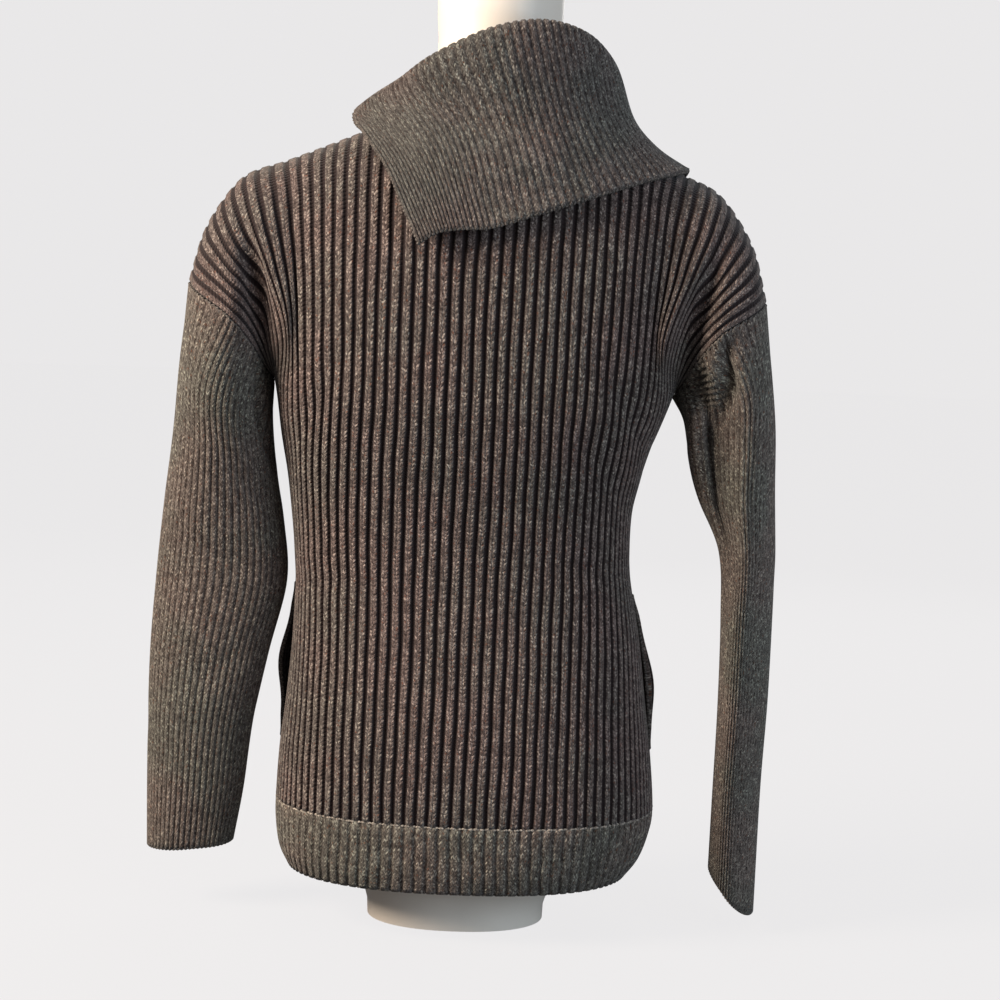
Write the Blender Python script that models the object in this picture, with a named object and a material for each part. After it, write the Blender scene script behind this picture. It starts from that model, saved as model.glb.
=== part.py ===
"""A ribbed turtleneck sweater with a split fold-over collar, on a plain counter-top dress form.

Metres, +Z up. The back of the sweater faces -Y, and +X is on the right as seen from behind.
The origin is the middle of the form's flat base. Widths and heights of the cloth are read at its rib crests.
"""

import math

import bpy
import numpy as np

# Cloth: walls are measured from the crest of a rib to the plain inside
SEAM_GAP = 0.0003
BODY_WALL = 0.0046
BODY_RIB_HEIGHT = 0.0021
FINE_WALL = 0.0034
FINE_RIB_HEIGHT = 0.0011
HEM_RIB_HEIGHT = 0.0013

# Rib counts: the body's ribs are wide and deep, those of sleeves and collar are narrow
BODY_RIBS = 44
SLEEVE_RIBS = 32
COLLAR_RIBS = 52

# Body section: a rounded square of this power, with ribs a little wider at its middle
SECTION_POWER = 2.35
MIDDLE_RIB_SPREAD = 0.16

# Rings of the body below the armpits, from the hem's edge up. The hem band is joined at HEM_SEAM_RING
BODY_RING_COLUMNS = ("height", "middle_x", "half_width", "back", "front")
BODY_RINGS = (
    (0.0455, 0.000, 0.1500, 0.1150, 0.1140),
    (0.0620, 0.002, 0.1600, 0.1215, 0.1200),
    (0.0840, 0.004, 0.1655, 0.1245, 0.1230),
    (0.1050, 0.005, 0.1670, 0.1250, 0.1240),
    (0.1500, 0.004, 0.1640, 0.1225, 0.1250),
    (0.2000, 0.003, 0.1580, 0.1165, 0.1235),
    (0.2550, 0.001, 0.1525, 0.1070, 0.1170),
    (0.3100, -0.004, 0.1475, 0.0990, 0.1120),
    (0.3650, -0.007, 0.1500, 0.1010, 0.1160),
    (0.4150, -0.005, 0.1600, 0.1090, 0.1250),
    (0.4650, 0.000, 0.1730, 0.1150, 0.1290),
)
HEM_SEAM_RING = 3
ARMPIT_RING = 10

# Neckline and shoulder line. The neck stands a little to the right of the hips
NECK_X = 0.011
NECK_Y = 0.006
NECK_HALF_WIDTH = 0.070
NECKLINE_HEIGHT = 0.706
NECKLINE_SHARE = 0.245
BACK_NECK_DEPTH = 0.062
BACK_NECK_DROP = 0.018
FRONT_NECK_DEPTH = 0.078
FRONT_NECK_DROP = 0.046
SHOULDER_SHARE = 0.72
SHOULDER_X = 0.207
SHOULDER_HEIGHT = 0.645
LAST_ARCHED_SHARE = 0.60

# Dropped shoulder: where chosen ribs run between armpit level and shoulder line, for the back of one side.
# Each rib climbs the body, dips into the crease behind the arm and wraps the arm up to the shoulder line
CAP_COLUMNS = ("share", "body", "crease", "arm_back", "arm_upper", "arm_top")
CAP_RIBS = (
    (0.72, (0.160, 0.072, 0.515), (0.177, 0.066, 0.565), (0.193, 0.054, 0.606), (0.204, 0.030, 0.634),
     (0.207, 0.000, 0.645)),
    (0.80, (0.169, 0.059, 0.504), (0.183, 0.057, 0.551), (0.205, 0.058, 0.582), (0.221, 0.036, 0.609),
     (0.227, 0.000, 0.621)),
    (0.88, (0.175, 0.045, 0.495), (0.187, 0.051, 0.532), (0.209, 0.065, 0.557), (0.233, 0.044, 0.583),
     (0.241, 0.000, 0.595)),
    (0.94, (0.178, 0.034, 0.487), (0.189, 0.051, 0.516), (0.208, 0.070, 0.539), (0.238, 0.048, 0.562),
     (0.2475, 0.000, 0.573)),
    (1.00, (0.180, 0.024, 0.479), (0.191, 0.055, 0.502), (0.208, 0.072, 0.523), (0.239, 0.050, 0.542),
     (0.2530, 0.000, 0.551)),
)

# Sleeve rings from armhole to cuff edge, x measured outwards. Lean and tip raise a ring's outer and front side
SLEEVE_COLUMNS = ("height", "x", "y", "half_width", "half_depth", "lean", "tip", "turn", "fold")
LEFT_SLEEVE = (
    (0.458, 0.2165, 0.000, 0.0409, 0.0694, 0.70, 0.00, 0.0, 0.00),
    (0.404, 0.2160, -0.002, 0.0459, 0.0544, 0.40, 0.00, 0.0, 0.04),
    (0.350, 0.2150, -0.004, 0.0534, 0.0414, 0.18, 0.00, 2.0, 0.08),
    (0.295, 0.2160, -0.004, 0.0579, 0.0334, 0.05, 0.00, 4.0, 0.06),
    (0.230, 0.2250, -0.004, 0.0529, 0.0314, 0.00, 0.00, 5.0, 0.03),
    (0.165, 0.2315, -0.004, 0.0469, 0.0294, 0.00, 0.00, 6.0, 0.00),
    (0.108, 0.2345, -0.003, 0.0434, 0.0279, 0.00, 0.03, 6.0, 0.00),
    (0.056, 0.2380, -0.001, 0.0389, 0.0269, -0.10, 0.08, 6.0, 0.10),
)
RIGHT_SLEEVE = (
    (0.470, 0.2220, 0.000, 0.0374, 0.0764, 0.62, 0.00, -2.0, 0.26),
    (0.430, 0.2280, 0.000, 0.0374, 0.0744, 0.34, 0.00, -4.0, 0.32),
    (0.385, 0.2345, -0.002, 0.0329, 0.0714, 0.12, 0.00, -8.0, 0.28),
    (0.335, 0.2455, -0.004, 0.0239, 0.0664, 0.00, 0.00, -12.0, 0.14),
    (0.280, 0.2475, -0.006, 0.0214, 0.0614, 0.00, 0.00, -14.0, 0.04),
    (0.200, 0.2475, -0.008, 0.0204, 0.0574, 0.00, 0.03, -15.0, 0.00),
    (0.120, 0.2455, -0.009, 0.0194, 0.0534, 0.00, 0.08, -16.0, 0.00),
    (0.034, 0.2445, -0.010, 0.0194, 0.0474, -1.10, 0.16, -17.0, 0.02),
)
FOLD_PLACE = 0.20
FOLD_WIDTH = 0.075
ARMHOLE_GAP = 0.0008
ARMPIT_SPREAD = 0.0020

# Collar: one strip from the slit round the neck, each row joining a place on the neckline, the fold and the edge.
# Turn is counted from the middle of the back towards +X
COLLAR_COLUMNS = ("turn", "fold", "edge")
COLLAR_STATIONS = (
    (-92.0, (-0.1030, -0.0300, 0.7050), (-0.0480, -0.1260, 0.5890)),
    (-72.0, (-0.0880, -0.0450, 0.7150), (-0.0330, -0.1240, 0.5985)),
    (-50.0, (-0.0660, -0.0590, 0.7280), (-0.0150, -0.1220, 0.6020)),
    (-27.0, (-0.0390, -0.0720, 0.7470), (0.0120, -0.1180, 0.6045)),
    (0.0, (0.0070, -0.0820, 0.7690), (0.0520, -0.1100, 0.6180)),
    (25.0, (0.0480, -0.0770, 0.7770), (0.0960, -0.0900, 0.6340)),
    (50.0, (0.0830, -0.0580, 0.7700), (0.1380, -0.0580, 0.6490)),
    (75.0, (0.1050, -0.0240, 0.7530), (0.1690, -0.0230, 0.6560)),
    (100.0, (0.1090, 0.0160, 0.7420), (0.1750, 0.0230, 0.6560)),
    (130.0, (0.0950, 0.0600, 0.7360), (0.1480, 0.0850, 0.6350)),
    (160.0, (0.0580, 0.0860, 0.7340), (0.0820, 0.1240, 0.6060)),
    (190.0, (0.0080, 0.0930, 0.7320), (0.0050, 0.1380, 0.5920)),
    (218.0, (-0.0440, 0.0830, 0.7280), (-0.0700, 0.1260, 0.6020)),
    (248.0, (-0.0920, 0.0220, 0.7160), (-0.1220, 0.0660, 0.6420)),
)
COLLAR_BASE_LIFT = 0.0007
COLLAR_LEG_SPREAD = 0.0085
COLLAR_LEG_DROP = 0.011
COLLAR_HOLLOW = 0.014
COLLAR_END_BULGE = 0.014
COLLAR_LAYER_COLUMNS = ("row", "least_gap")
COLLAR_LAYERS = (
    (0.0, 0.0000),
    (0.4, 0.0045),
    (1.2, 0.0060),
    (2.0, 0.0074),
    (2.6, 0.0084),
    (3.0, 0.0092),
    (3.4, 0.0098),
    (4.0, 0.0094),
    (4.5, 0.0080),
    (5.0, 0.0066),
    (5.7, 0.0050),
    (7.0, 0.0038),
)

# Side pockets: a patch on the front whose rear edge gapes. Shares are counted from the front's middle
POCKET_INNER_SHARE = 0.44
POCKET_MOUTH_SHARE = 0.980
POCKET_BOTTOM = 0.155
POCKET_TOP = 0.290
POCKET_WALL = 0.0030
POCKET_GAPE = 0.0078
POCKET_GAPE_SHARE = 0.26
POCKET_ROWS = 7

# Dress form: rings of its trunk and neck, and the ridge that carries the shoulder line
FORM_RING_COLUMNS = ("height", "middle_x", "middle_y", "half_width", "half_depth", "power")
FORM_TRUNK = (
    (0.000, 0.000, 0.000, 0.0780, 0.0640, 2.2),
    (0.020, 0.000, 0.000, 0.0800, 0.0650, 2.2),
    (0.050, 0.002, 0.000, 0.0980, 0.0760, 2.2),
    (0.085, 0.004, 0.000, 0.1270, 0.0920, 2.3),
    (0.130, 0.003, 0.000, 0.1400, 0.0990, 2.3),
    (0.210, 0.001, 0.000, 0.1360, 0.0960, 2.2),
    (0.310, -0.002, 0.002, 0.1200, 0.0820, 2.2),
    (0.400, 0.000, 0.006, 0.1340, 0.0920, 2.2),
    (0.480, 0.002, 0.004, 0.1480, 0.0940, 2.3),
    (0.560, 0.003, 0.000, 0.1660, 0.0820, 2.5),
    (0.610, 0.003, 0.000, 0.1860, 0.0580, 2.4),
)
FORM_NECK = (
    (0.6860, 0.011, 0.000, 0.0780, 0.0400, 2.0),
    (0.6920, 0.011, 0.002, 0.0620, 0.0440, 2.0),
    (0.7000, 0.011, 0.003, 0.0575, 0.0480, 2.0),
    (0.7120, 0.011, 0.004, 0.0555, 0.0520, 2.0),
    (0.7300, 0.011, 0.005, 0.0545, 0.0530, 2.0),
    (0.7700, 0.011, 0.006, 0.0530, 0.0520, 2.0),
    (0.8140, 0.011, 0.007, 0.0530, 0.0520, 2.0),
    (0.8200, 0.011, 0.007, 0.0490, 0.0480, 2.0),
)
FORM_RIDGE_HEIGHTS = (0.642, 0.652, 0.662, 0.671, 0.679)
FORM_RIDGE_DEPTHS = (0.0380, 0.0360, 0.0360, 0.0370, 0.0380)
FORM_RIDGE_POWER = 1.6
FORM_RIDGE_GAP = 0.0005
FORM_SIDES = 28


def spline(knots, values, at):
    """A smooth curve through values at knots, read at each place in at."""
    knots = np.asarray(knots, float)
    values = np.asarray(values, float)
    at = np.asarray(at, float)
    steps = np.diff(knots).reshape((-1,) + (1,) * (values.ndim - 1))
    slopes = np.diff(values, axis=0) / steps
    tangents = np.concatenate([slopes[:1], slopes, slopes[-1:]])
    tangents = (tangents[:-1] + tangents[1:]) / 2
    index = np.clip(np.searchsorted(knots, at, side="right") - 1, 0, len(knots) - 2)
    step = steps[index]
    u = ((at - knots[index]) / np.diff(knots)[index]).reshape((-1,) + (1,) * (values.ndim - 1))
    start, end = values[index], values[index + 1]
    pull, push = tangents[index] * step, tangents[index + 1] * step
    return (
        start * (2 * u**3 - 3 * u**2 + 1)
        + pull * (u**3 - 2 * u**2 + u)
        + end * (3 * u**2 - 2 * u**3)
        + push * (u**3 - u**2)
    )


def smoothstep(low, high, value):
    share = np.clip((value - low) / (high - low), 0.0, 1.0)
    return share * share * (3 - 2 * share)


def section_quarter(half_width, depth, shares):
    """Places on a quarter of a rounded-square section, by share of its length from its middle to its side."""
    angles = np.linspace(0.0, math.pi / 2, 181)
    x = half_width * np.sin(angles) ** (2 / SECTION_POWER)
    y = depth * np.cos(angles) ** (2 / SECTION_POWER)
    lengths = np.concatenate([[0.0], np.cumsum(np.hypot(np.diff(x), np.diff(y)))])
    spread = np.abs(shares) * (1 + MIDDLE_RIB_SPREAD * (1 - shares**2))
    wanted = spread * lengths[-1]
    return np.interp(wanted, lengths, x) * np.sign(shares), np.interp(wanted, lengths, y)


def body_ring(ring, face, shares):
    height, middle, half_width, back, front = ring
    x, y = section_quarter(half_width, back if face < 0 else front, shares)
    return np.stack([middle + x, face * y, np.full_like(x, height)], axis=1)


def shoulder_line(face, shares):
    """The panel's top edge: the neckline, then the shoulder down to its tip."""
    across = shares / SHOULDER_SHARE
    x = SHOULDER_X * across + NECK_X * (1 - across**2)
    scoop = np.sqrt(np.clip(1 - (shares / NECKLINE_SHARE) ** 2, 0.0, 1.0))
    slope = (np.abs(shares) - NECKLINE_SHARE) / (SHOULDER_SHARE - NECKLINE_SHARE)
    fall = np.clip(slope, 0.0, 1.0) * (NECKLINE_HEIGHT - SHOULDER_HEIGHT)
    depth, drop = (BACK_NECK_DEPTH, BACK_NECK_DROP) if face < 0 else (FRONT_NECK_DEPTH, FRONT_NECK_DROP)
    return np.stack([x, face * depth * scoop, NECKLINE_HEIGHT - fall - drop * scoop**2], axis=1)


def arched_rows(face, shares):
    """Rows between armpit level and shoulder line where the cloth arches straight over the shoulder blade."""
    start = body_ring(BODY_RINGS[ARMPIT_RING], face, shares)
    end = shoulder_line(face, shares)
    rows = []
    for climb in (0.2, 0.4, 0.6, 0.8):
        rise = math.sin(climb * math.pi / 2) ** 0.9
        fall = math.cos(climb * math.pi / 2) ** 0.72
        x = start[:, 0] + (end[:, 0] - start[:, 0]) * climb**1.1
        y = end[:, 1] + (start[:, 1] - end[:, 1]) * fall
        z = start[:, 2] + (end[:, 2] - start[:, 2]) * rise
        rows.append(np.stack([x, y, z], axis=1))
    return np.array(rows + [end])


def cap_rows(face, shares):
    """The same rows out on the dropped shoulder, through the ribs of CAP_RIBS."""
    side = 1.0 if shares.size and shares[0] > 0 else -1.0
    inner = np.array([0.36, 0.48, LAST_ARCHED_SHARE])
    arched = arched_rows(face, inner * side)
    knots = list(inner) + [rib[0] for rib in CAP_RIBS]
    table = np.array([rib[1:] for rib in CAP_RIBS]) * np.array([side, face, 1.0])
    values = np.concatenate([arched.transpose(1, 0, 2), table])
    return spline(knots, values, np.abs(shares)).transpose(1, 0, 2)


def panel(face, shares, rows):
    """Crest points of the back (face -1) or front (face 1). Shares run -1 to 1 across it, rows count rings."""
    shares = np.asarray(shares, float)
    below = np.array([body_ring(ring, face, shares) for ring in BODY_RINGS])
    above = arched_rows(face, shares)
    for outer in (shares > LAST_ARCHED_SHARE, shares < -LAST_ARCHED_SHARE):
        if outer.any():
            above[:, outer] = cap_rows(face, shares[outer])
    every = np.concatenate([below, above])
    return spline(np.arange(len(every)), every, rows)


SHOULDER_ROW = len(BODY_RINGS) + 4


def unit(vectors):
    return vectors / np.maximum(np.linalg.norm(vectors, axis=-1, keepdims=True), 1e-9)


def normals_of(surface, across, along, limits):
    """Outward normals of a surface of (across, along), by small steps kept inside limits."""
    step = 0.002
    ahead = surface(np.minimum(across + step, limits[1]), along)
    behind = surface(np.maximum(across - step, limits[0]), along)
    low, high = along.min(), along.max()
    up = surface(across, np.minimum(along + step * 5, high))
    down = surface(across, np.maximum(along - step * 5, low))
    return unit(np.cross(ahead - behind, up - down))


def panel_normals(face, shares, rows):
    normals = normals_of(lambda s, r: panel(face, s, r), shares, rows, (-1.0, 1.0)) * -face
    on_side = (np.abs(shares) > 0.999)[None, :] & (rows <= ARMPIT_RING + 0.05)[:, None]
    on_top = (np.abs(shares) > NECKLINE_SHARE)[None, :] & (rows > SHOULDER_ROW - 0.01)[:, None]
    normals[..., 1] = np.where(on_side | on_top, 0.0, normals[..., 1])
    return unit(normals)


def material(name, color, roughness):
    finish = bpy.data.materials.new(name)
    finish.use_nodes = True
    shader = finish.node_tree.nodes["Principled BSDF"]
    shader.inputs["Base Color"].default_value = (*color, 1.0)
    shader.inputs["Roughness"].default_value = roughness
    shader.inputs["Metallic"].default_value = 0.0
    return finish


def add_object(name, points, faces, finish, smooth=False):
    mesh = bpy.data.meshes.new(name)
    mesh.from_pydata([tuple(p) for p in points], [], faces)
    mesh.validate()
    mesh.materials.append(finish)
    if smooth:
        mesh.shade_smooth()
    part = bpy.data.objects.new(name, mesh)
    bpy.context.scene.collection.objects.link(part)
    return part


def grid_faces(rows, columns, start, wrap, flip):
    faces = []
    for r in range(rows - 1):
        for c in range(columns if wrap else columns - 1):
            a = start + r * columns + c
            b = start + r * columns + (c + 1) % columns
            halves = ((a, b, b + columns), (a, b + columns, a + columns))
            if not wrap and c < columns // 2:
                halves = ((a, b, a + columns), (b, b + columns, a + columns))
            faces += [half[::-1] if flip else half for half in halves]
    return faces


def join_edges(first, second, first_at, second_at, flip):
    """Triangles between two edges of different point counts, matched by the middles of their steps."""
    faces = []
    first_middles = [(a + b) / 2 for a, b in zip(first_at, first_at[1:])] + [math.inf]
    second_middles = [(a + b) / 2 for a, b in zip(second_at, second_at[1:])] + [math.inf]
    i = j = 0
    while i < len(first) - 1 or j < len(second) - 1:
        if first_middles[i] <= second_middles[j]:
            face = (first[i], first[i + 1], second[j])
            i += 1
        else:
            face = (first[i], second[j + 1], second[j])
            j += 1
        faces.append(face[::-1] if flip else face)
    return faces


def wall(name, outer, inner, outer_at, inner_at, wrap, finish, flip=False):
    """A closed cloth wall from an outer and an inner grid of points with the same rows."""
    rows, columns = outer.shape[:2]
    inner_columns = inner.shape[1]
    offset = rows * columns
    points = np.concatenate([outer.reshape(-1, 3), inner.reshape(-1, 3)])
    faces = grid_faces(rows, columns, 0, wrap, flip)
    faces += grid_faces(rows, inner_columns, offset, wrap, not flip)
    for row, turned in ((0, flip), (rows - 1, not flip)):
        outer_edge = [row * columns + c for c in range(columns)]
        inner_edge = [offset + row * inner_columns + c for c in range(inner_columns)]
        places = (list(outer_at), list(inner_at))
        if wrap:
            outer_edge.append(outer_edge[0])
            inner_edge.append(inner_edge[0])
            places = (places[0] + [1.0], places[1] + [1.0])
        faces += join_edges(outer_edge, inner_edge, *places, not turned)
    if not wrap:
        for column, inner_column, turned in ((0, 0, flip), (columns - 1, inner_columns - 1, not flip)):
            for r in range(rows - 1):
                a = r * columns + column
                b = offset + r * inner_columns + inner_column
                quad = (a, a + columns, b + inner_columns, b)
                faces.append(quad if not turned else quad[::-1])
    return add_object(name, points, faces, finish)


def straight_rows(grid, grid_rows, rows):
    """Points of a grid read straight from one of its rows to the next."""
    flat = grid.reshape(len(grid_rows), -1)
    read = [np.interp(rows, grid_rows, flat[:, i]) for i in range(flat.shape[1])]
    return np.array(read).T.reshape(len(rows), *grid.shape[1:])


def rib_places(count, low, high):
    """Groove and crest places in turn, and how much of the rib height each one loses."""
    places = np.linspace(low, high, 2 * count + 1)
    loss = np.where(np.arange(2 * count + 1) % 2 == 0, 1.0, 0.0)
    return places, loss


def inside_places(places, close):
    """Every second groove, and every groove where close holds, for the plain inside."""
    grooves = places[::2]
    kept = [i % 2 == 0 or close(place) for i, place in enumerate(grooves)]
    return grooves[np.array(kept)]


def panel_piece(name, face, rows, rib_height, finish):
    shares, loss = rib_places(BODY_RIBS, -1.0, 1.0)
    inner_shares = inside_places(shares, lambda share: abs(share) > 0.5 and rows[-1] > ARMPIT_RING)
    crest = panel(face, shares, rows)
    outer = crest - panel_normals(face, shares, rows) * (rib_height * loss)[None, :, None]
    inner = panel(face, inner_shares, rows)
    inner = inner - panel_normals(face, inner_shares, rows) * BODY_WALL
    for grid in (outer, inner):
        grid[..., 1] += face * SEAM_GAP / 2
    return wall(name, outer, inner, shares, inner_shares, False, finish, flip=face > 0)


def armhole(side, turns, body_rows):
    """Crest, way out and normal of the panels' armhole edge, straight from one body row to the next."""
    rows = body_rows[body_rows >= ARMPIT_RING]
    result = []
    edges = {}
    for face in (-1, 1):
        share = np.array([float(side)])
        crest = panel(face, share, rows)[:, 0]
        normal = panel_normals(face, share, rows)[:, 0]
        crest[:, 1] += face * SEAM_GAP / 2
        out = unit(np.cross(normal, np.gradient(crest, axis=0)))
        out *= np.sign((out * (crest - panel(face, share * 0.98, rows)[:, 0])).sum(axis=1))[:, None]
        edges[face] = np.concatenate([crest, out, normal], axis=1)
    for turn in np.asarray(turns) % 1.0:
        face = -1 if turn <= 0.5 else 1
        climb = turn * 2 if turn <= 0.5 else 2 - turn * 2
        row = ARMPIT_RING + climb * (SHOULDER_ROW - ARMPIT_RING)
        result.append([np.interp(row, rows, edges[face][:, i]) for i in range(9)])
    result = np.array(result)
    return result[:, :3], unit(result[:, 3:6]), unit(result[:, 6:])


def sleeve(side, table, seam, turns, rows):
    """Crest points of a sleeve. Turns run once round from the armpit by the back, row 0 is the armhole seam."""
    turns = np.asarray(turns, float)
    rings = [seam]
    angle = turns * 2 * math.pi
    back_fold = np.exp(-(((turns % 1.0) - FOLD_PLACE) / FOLD_WIDTH) ** 2)
    for height, x, y, half_width, half_depth, lean, tip, turn, fold in table:
        out = -half_width * np.cos(angle)
        deep = -half_depth * np.sin(angle) * (1 - fold * back_fold)
        twist = math.radians(turn)
        turned_out = out * math.cos(twist) - deep * math.sin(twist)
        turned_deep = out * math.sin(twist) + deep * math.cos(twist)
        z = height + lean * turned_out + tip * turned_deep
        rings.append(np.stack([side * (x + turned_out), y + turned_deep, z], axis=1))
    return spline(np.arange(len(rings)), np.array(rings), rows)


def sleeve_wall(side, table, turns, rows, depth, body_rows):
    """Points of a sleeve at a depth under its crests. Its first row is the panels' edge, moved out."""
    crest, out, panel_normal = armhole(side, turns, body_rows)
    seam = crest + out * ARMHOLE_GAP
    step = 0.002
    ahead = sleeve(side, table, armhole(side, turns + step, body_rows)[0], turns + step, rows)
    behind = sleeve(side, table, armhole(side, turns - step, body_rows)[0], turns - step, rows)
    up = sleeve(side, table, seam, turns, np.minimum(rows + 0.01, len(table)))
    down = sleeve(side, table, seam, turns, np.maximum(rows - 0.01, 0.0))
    normals = unit(np.cross(ahead - behind, up - down)) * -side
    fold_back = np.clip(-(normals[0] * panel_normal).sum(axis=1), 0.0, 1.0)[:, None]
    points = sleeve(side, table, seam - normals[0] * fold_back * ARMPIT_SPREAD, turns, rows)
    lean_in = np.clip((normals[0] * out).sum(axis=1), 0.0, 1.0)[:, None]
    normals[0] = unit(normals[0] + (panel_normal - out) * lean_in)
    return points - normals * depth[None, :, None]


def sleeve_piece(name, side, table, rows, body_rows, finish):
    turns, loss = rib_places(SLEEVE_RIBS, 0.0, 1.0)
    inner_turns = inside_places(turns, lambda turn: abs(turn - FOLD_PLACE) < 1.8 * FOLD_WIDTH)[:-1]
    turns, loss = turns[:-1], loss[:-1]
    outer = sleeve_wall(side, table, turns, rows, FINE_RIB_HEIGHT * loss, body_rows)
    inner = sleeve_wall(side, table, inner_turns, rows, np.full(len(inner_turns), FINE_WALL), body_rows)
    return wall(name, outer, inner, turns, inner_turns, True, finish, flip=side > 0)


def neckline(turns):
    """Places on the panels' neck edge, straight between its points, by turn in degrees from the back's middle."""
    shares = rib_places(BODY_RIBS, -1.0, 1.0)[0]
    shares = shares[np.abs(shares) < NECKLINE_SHARE + 0.02]
    knots, points = [], []
    for face, depth in ((-1, BACK_NECK_DEPTH), (1, FRONT_NECK_DEPTH)):
        line = shoulder_line(face, shares)
        turn = np.degrees(np.arctan2((line[:, 0] - NECK_X) / NECK_HALF_WIDTH, -line[:, 1] / depth))
        knots += list(turn % 360.0)
        points += list(line)
    order = np.argsort(knots)
    knots, points = np.array(knots)[order], np.array(points)[order]
    found = [np.interp(np.asarray(turns) % 360.0, knots, points[:, i], period=360.0) for i in range(3)]
    return np.stack(found, axis=1) + np.array([0.0, 0.0, COLLAR_BASE_LIFT])


def collar_controls():
    """Control points of the strip at each station: neckline, inner leg, fold, outer leg, hollow and edge."""
    axis = np.array([NECK_X, NECK_Y, 0.0])
    controls = []
    last = len(COLLAR_STATIONS) - 1
    for i, (turn, fold, edge) in enumerate(COLLAR_STATIONS):
        base, fold, edge = neckline([turn])[0], np.array(fold), np.array(edge)
        away = (fold - axis) * np.array([1.0, 1.0, 0.0])
        away = away / np.linalg.norm(away)
        down = np.array([0.0, 0.0, -COLLAR_LEG_DROP])
        inner_leg = fold - away * COLLAR_LEG_SPREAD + down
        outer_leg = fold + away * COLLAR_LEG_SPREAD * 0.8 + down
        waist = base * 0.5 + inner_leg * 0.5
        hang = min(1.0, i / 3, (last - i) / 2)
        sag = away * COLLAR_HOLLOW * hang
        sag = sag - np.array([0.0, math.copysign(0.7, edge[1]), 0.7]) * COLLAR_END_BULGE * (1 - hang)
        hollow = outer_leg * 0.55 + edge * 0.45 - sag
        flare = outer_leg * 0.2 + edge * 0.8 - sag * 0.45
        controls.append([base, waist, inner_leg, fold, outer_leg, hollow, flare, edge])
    return np.array(controls)


def body_cloud():
    """Crest points and normals of both panels round the shoulders, for what lies on them."""
    shares = np.linspace(-1.0, 1.0, 121)
    rows = np.linspace(ARMPIT_RING, SHOULDER_ROW, 61)
    points = [panel(face, shares, rows).reshape(-1, 3) for face in (-1, 1)]
    normals = [panel_normals(face, shares, rows).reshape(-1, 3) for face in (-1, 1)]
    return np.concatenate(points), np.concatenate(normals)


def lay_on_body(points, cloud, gaps):
    """Moves the points of each row that are nearer the body's crests than its gap straight out to that gap."""
    crest, normals = cloud
    laid = points.copy()
    for row, gap in zip(laid, gaps):
        for i, point in enumerate(row):
            nearest = np.argmin(((crest - point) ** 2).sum(axis=1))
            height = (point - crest[nearest]) @ normals[nearest]
            if height < gap:
                row[i] = point + normals[nearest] * (gap - height)
    return laid


def collar_surface(controls, stations, along):
    across = spline(np.arange(len(controls)), controls, stations)
    turns = spline(np.arange(len(controls)), np.array([row[0] for row in COLLAR_STATIONS]), stations)
    across[:, 0] = neckline(turns)
    return spline(np.arange(across.shape[1]), across.transpose(1, 0, 2), along)


def collar_piece(finish):
    controls = collar_controls()
    last = len(controls) - 1.0
    rows = np.array([row for row, _ in COLLAR_LAYERS])
    gaps = np.array([gap for _, gap in COLLAR_LAYERS])
    stations, loss = rib_places(COLLAR_RIBS, 0.0, last)
    inner_stations = stations[::2]
    cloud = body_cloud()

    def middle(s, r):
        return collar_surface(controls, s, r)

    def hidden_side(s):
        points = middle(s, rows)
        points[1:] = lay_on_body(points[1:], cloud, gaps[1:])
        return points

    hidden = hidden_side(inner_stations)
    base = hidden_side(stations)
    outward = -unit(np.cross(np.gradient(base, axis=1), np.gradient(base, axis=0)))
    outward[0] = unit(outward[0] + np.array([0.0, 0.0, 0.35]))
    shown = base + outward * (FINE_WALL - FINE_RIB_HEIGHT * loss)[None, :, None]
    return wall("collar", shown, hidden, stations, inner_stations, False, finish, flip=True)


def pocket_piece(name, side, body_rows, finish):
    """A patch pocket on the front, from the front's own crest points moved out."""
    heights = [ring[0] for ring in BODY_RINGS]
    crests = rib_places(BODY_RIBS, -1.0, 1.0)[0][1::2]
    shares = crests[(crests > POCKET_INNER_SHARE) & (crests < POCKET_MOUTH_SHARE)] * side
    rows = np.interp(np.linspace(POCKET_BOTTOM, POCKET_TOP, POCKET_ROWS), heights, range(len(heights)))
    crest = straight_rows(panel(1, shares, body_rows), body_rows, rows)
    normals = panel_normals(1, shares, rows)
    near_mouth = smoothstep(POCKET_MOUTH_SHARE - POCKET_GAPE_SHARE, POCKET_MOUTH_SHARE, np.abs(shares))
    along = np.linspace(0.0, 1.0, POCKET_ROWS)
    swell = np.sin(along * math.pi) ** 1.5
    gape = POCKET_GAPE * swell[:, None] * near_mouth[None, :]
    inner = crest + normals * (2 * SEAM_GAP + gape)[..., None]
    outer = inner + normals * POCKET_WALL
    return wall(name, outer, inner, np.abs(shares), np.abs(shares), False, finish, flip=side > 0)


def form_ring(height, middle_x, middle_y, half_width, half_depth, power):
    angles = np.arange(FORM_SIDES) / FORM_SIDES * 2 * math.pi
    x = np.sign(np.cos(angles)) * np.abs(np.cos(angles)) ** (2 / power) * half_width
    y = np.sign(np.sin(angles)) * np.abs(np.sin(angles)) ** (2 / power) * half_depth
    return np.stack([middle_x + x, middle_y + y, np.full_like(x, height)], axis=1)


def ridge_ring(height, half_depth):
    """A ring whose two side points touch the shoulder line from below, but for a small gap."""
    shares = np.linspace(NECKLINE_SHARE + 0.01, SHOULDER_SHARE, 60)
    ends = []
    for side in (-1.0, 1.0):
        line = shoulder_line(-1, shares * side)
        slopes = np.arctan2(-np.gradient(line[:, 2]), np.abs(np.gradient(line[:, 0])))
        lowered = line[:, 2] - (BODY_WALL + FORM_RIDGE_GAP) / np.cos(slopes)
        ends.append(np.interp(height, lowered[::-1], line[::-1, 0]))
    middle, half_width = sum(ends) / 2, (ends[1] - ends[0]) / 2
    return form_ring(height, middle, 0.0, half_width, half_depth, FORM_RIDGE_POWER)


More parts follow.
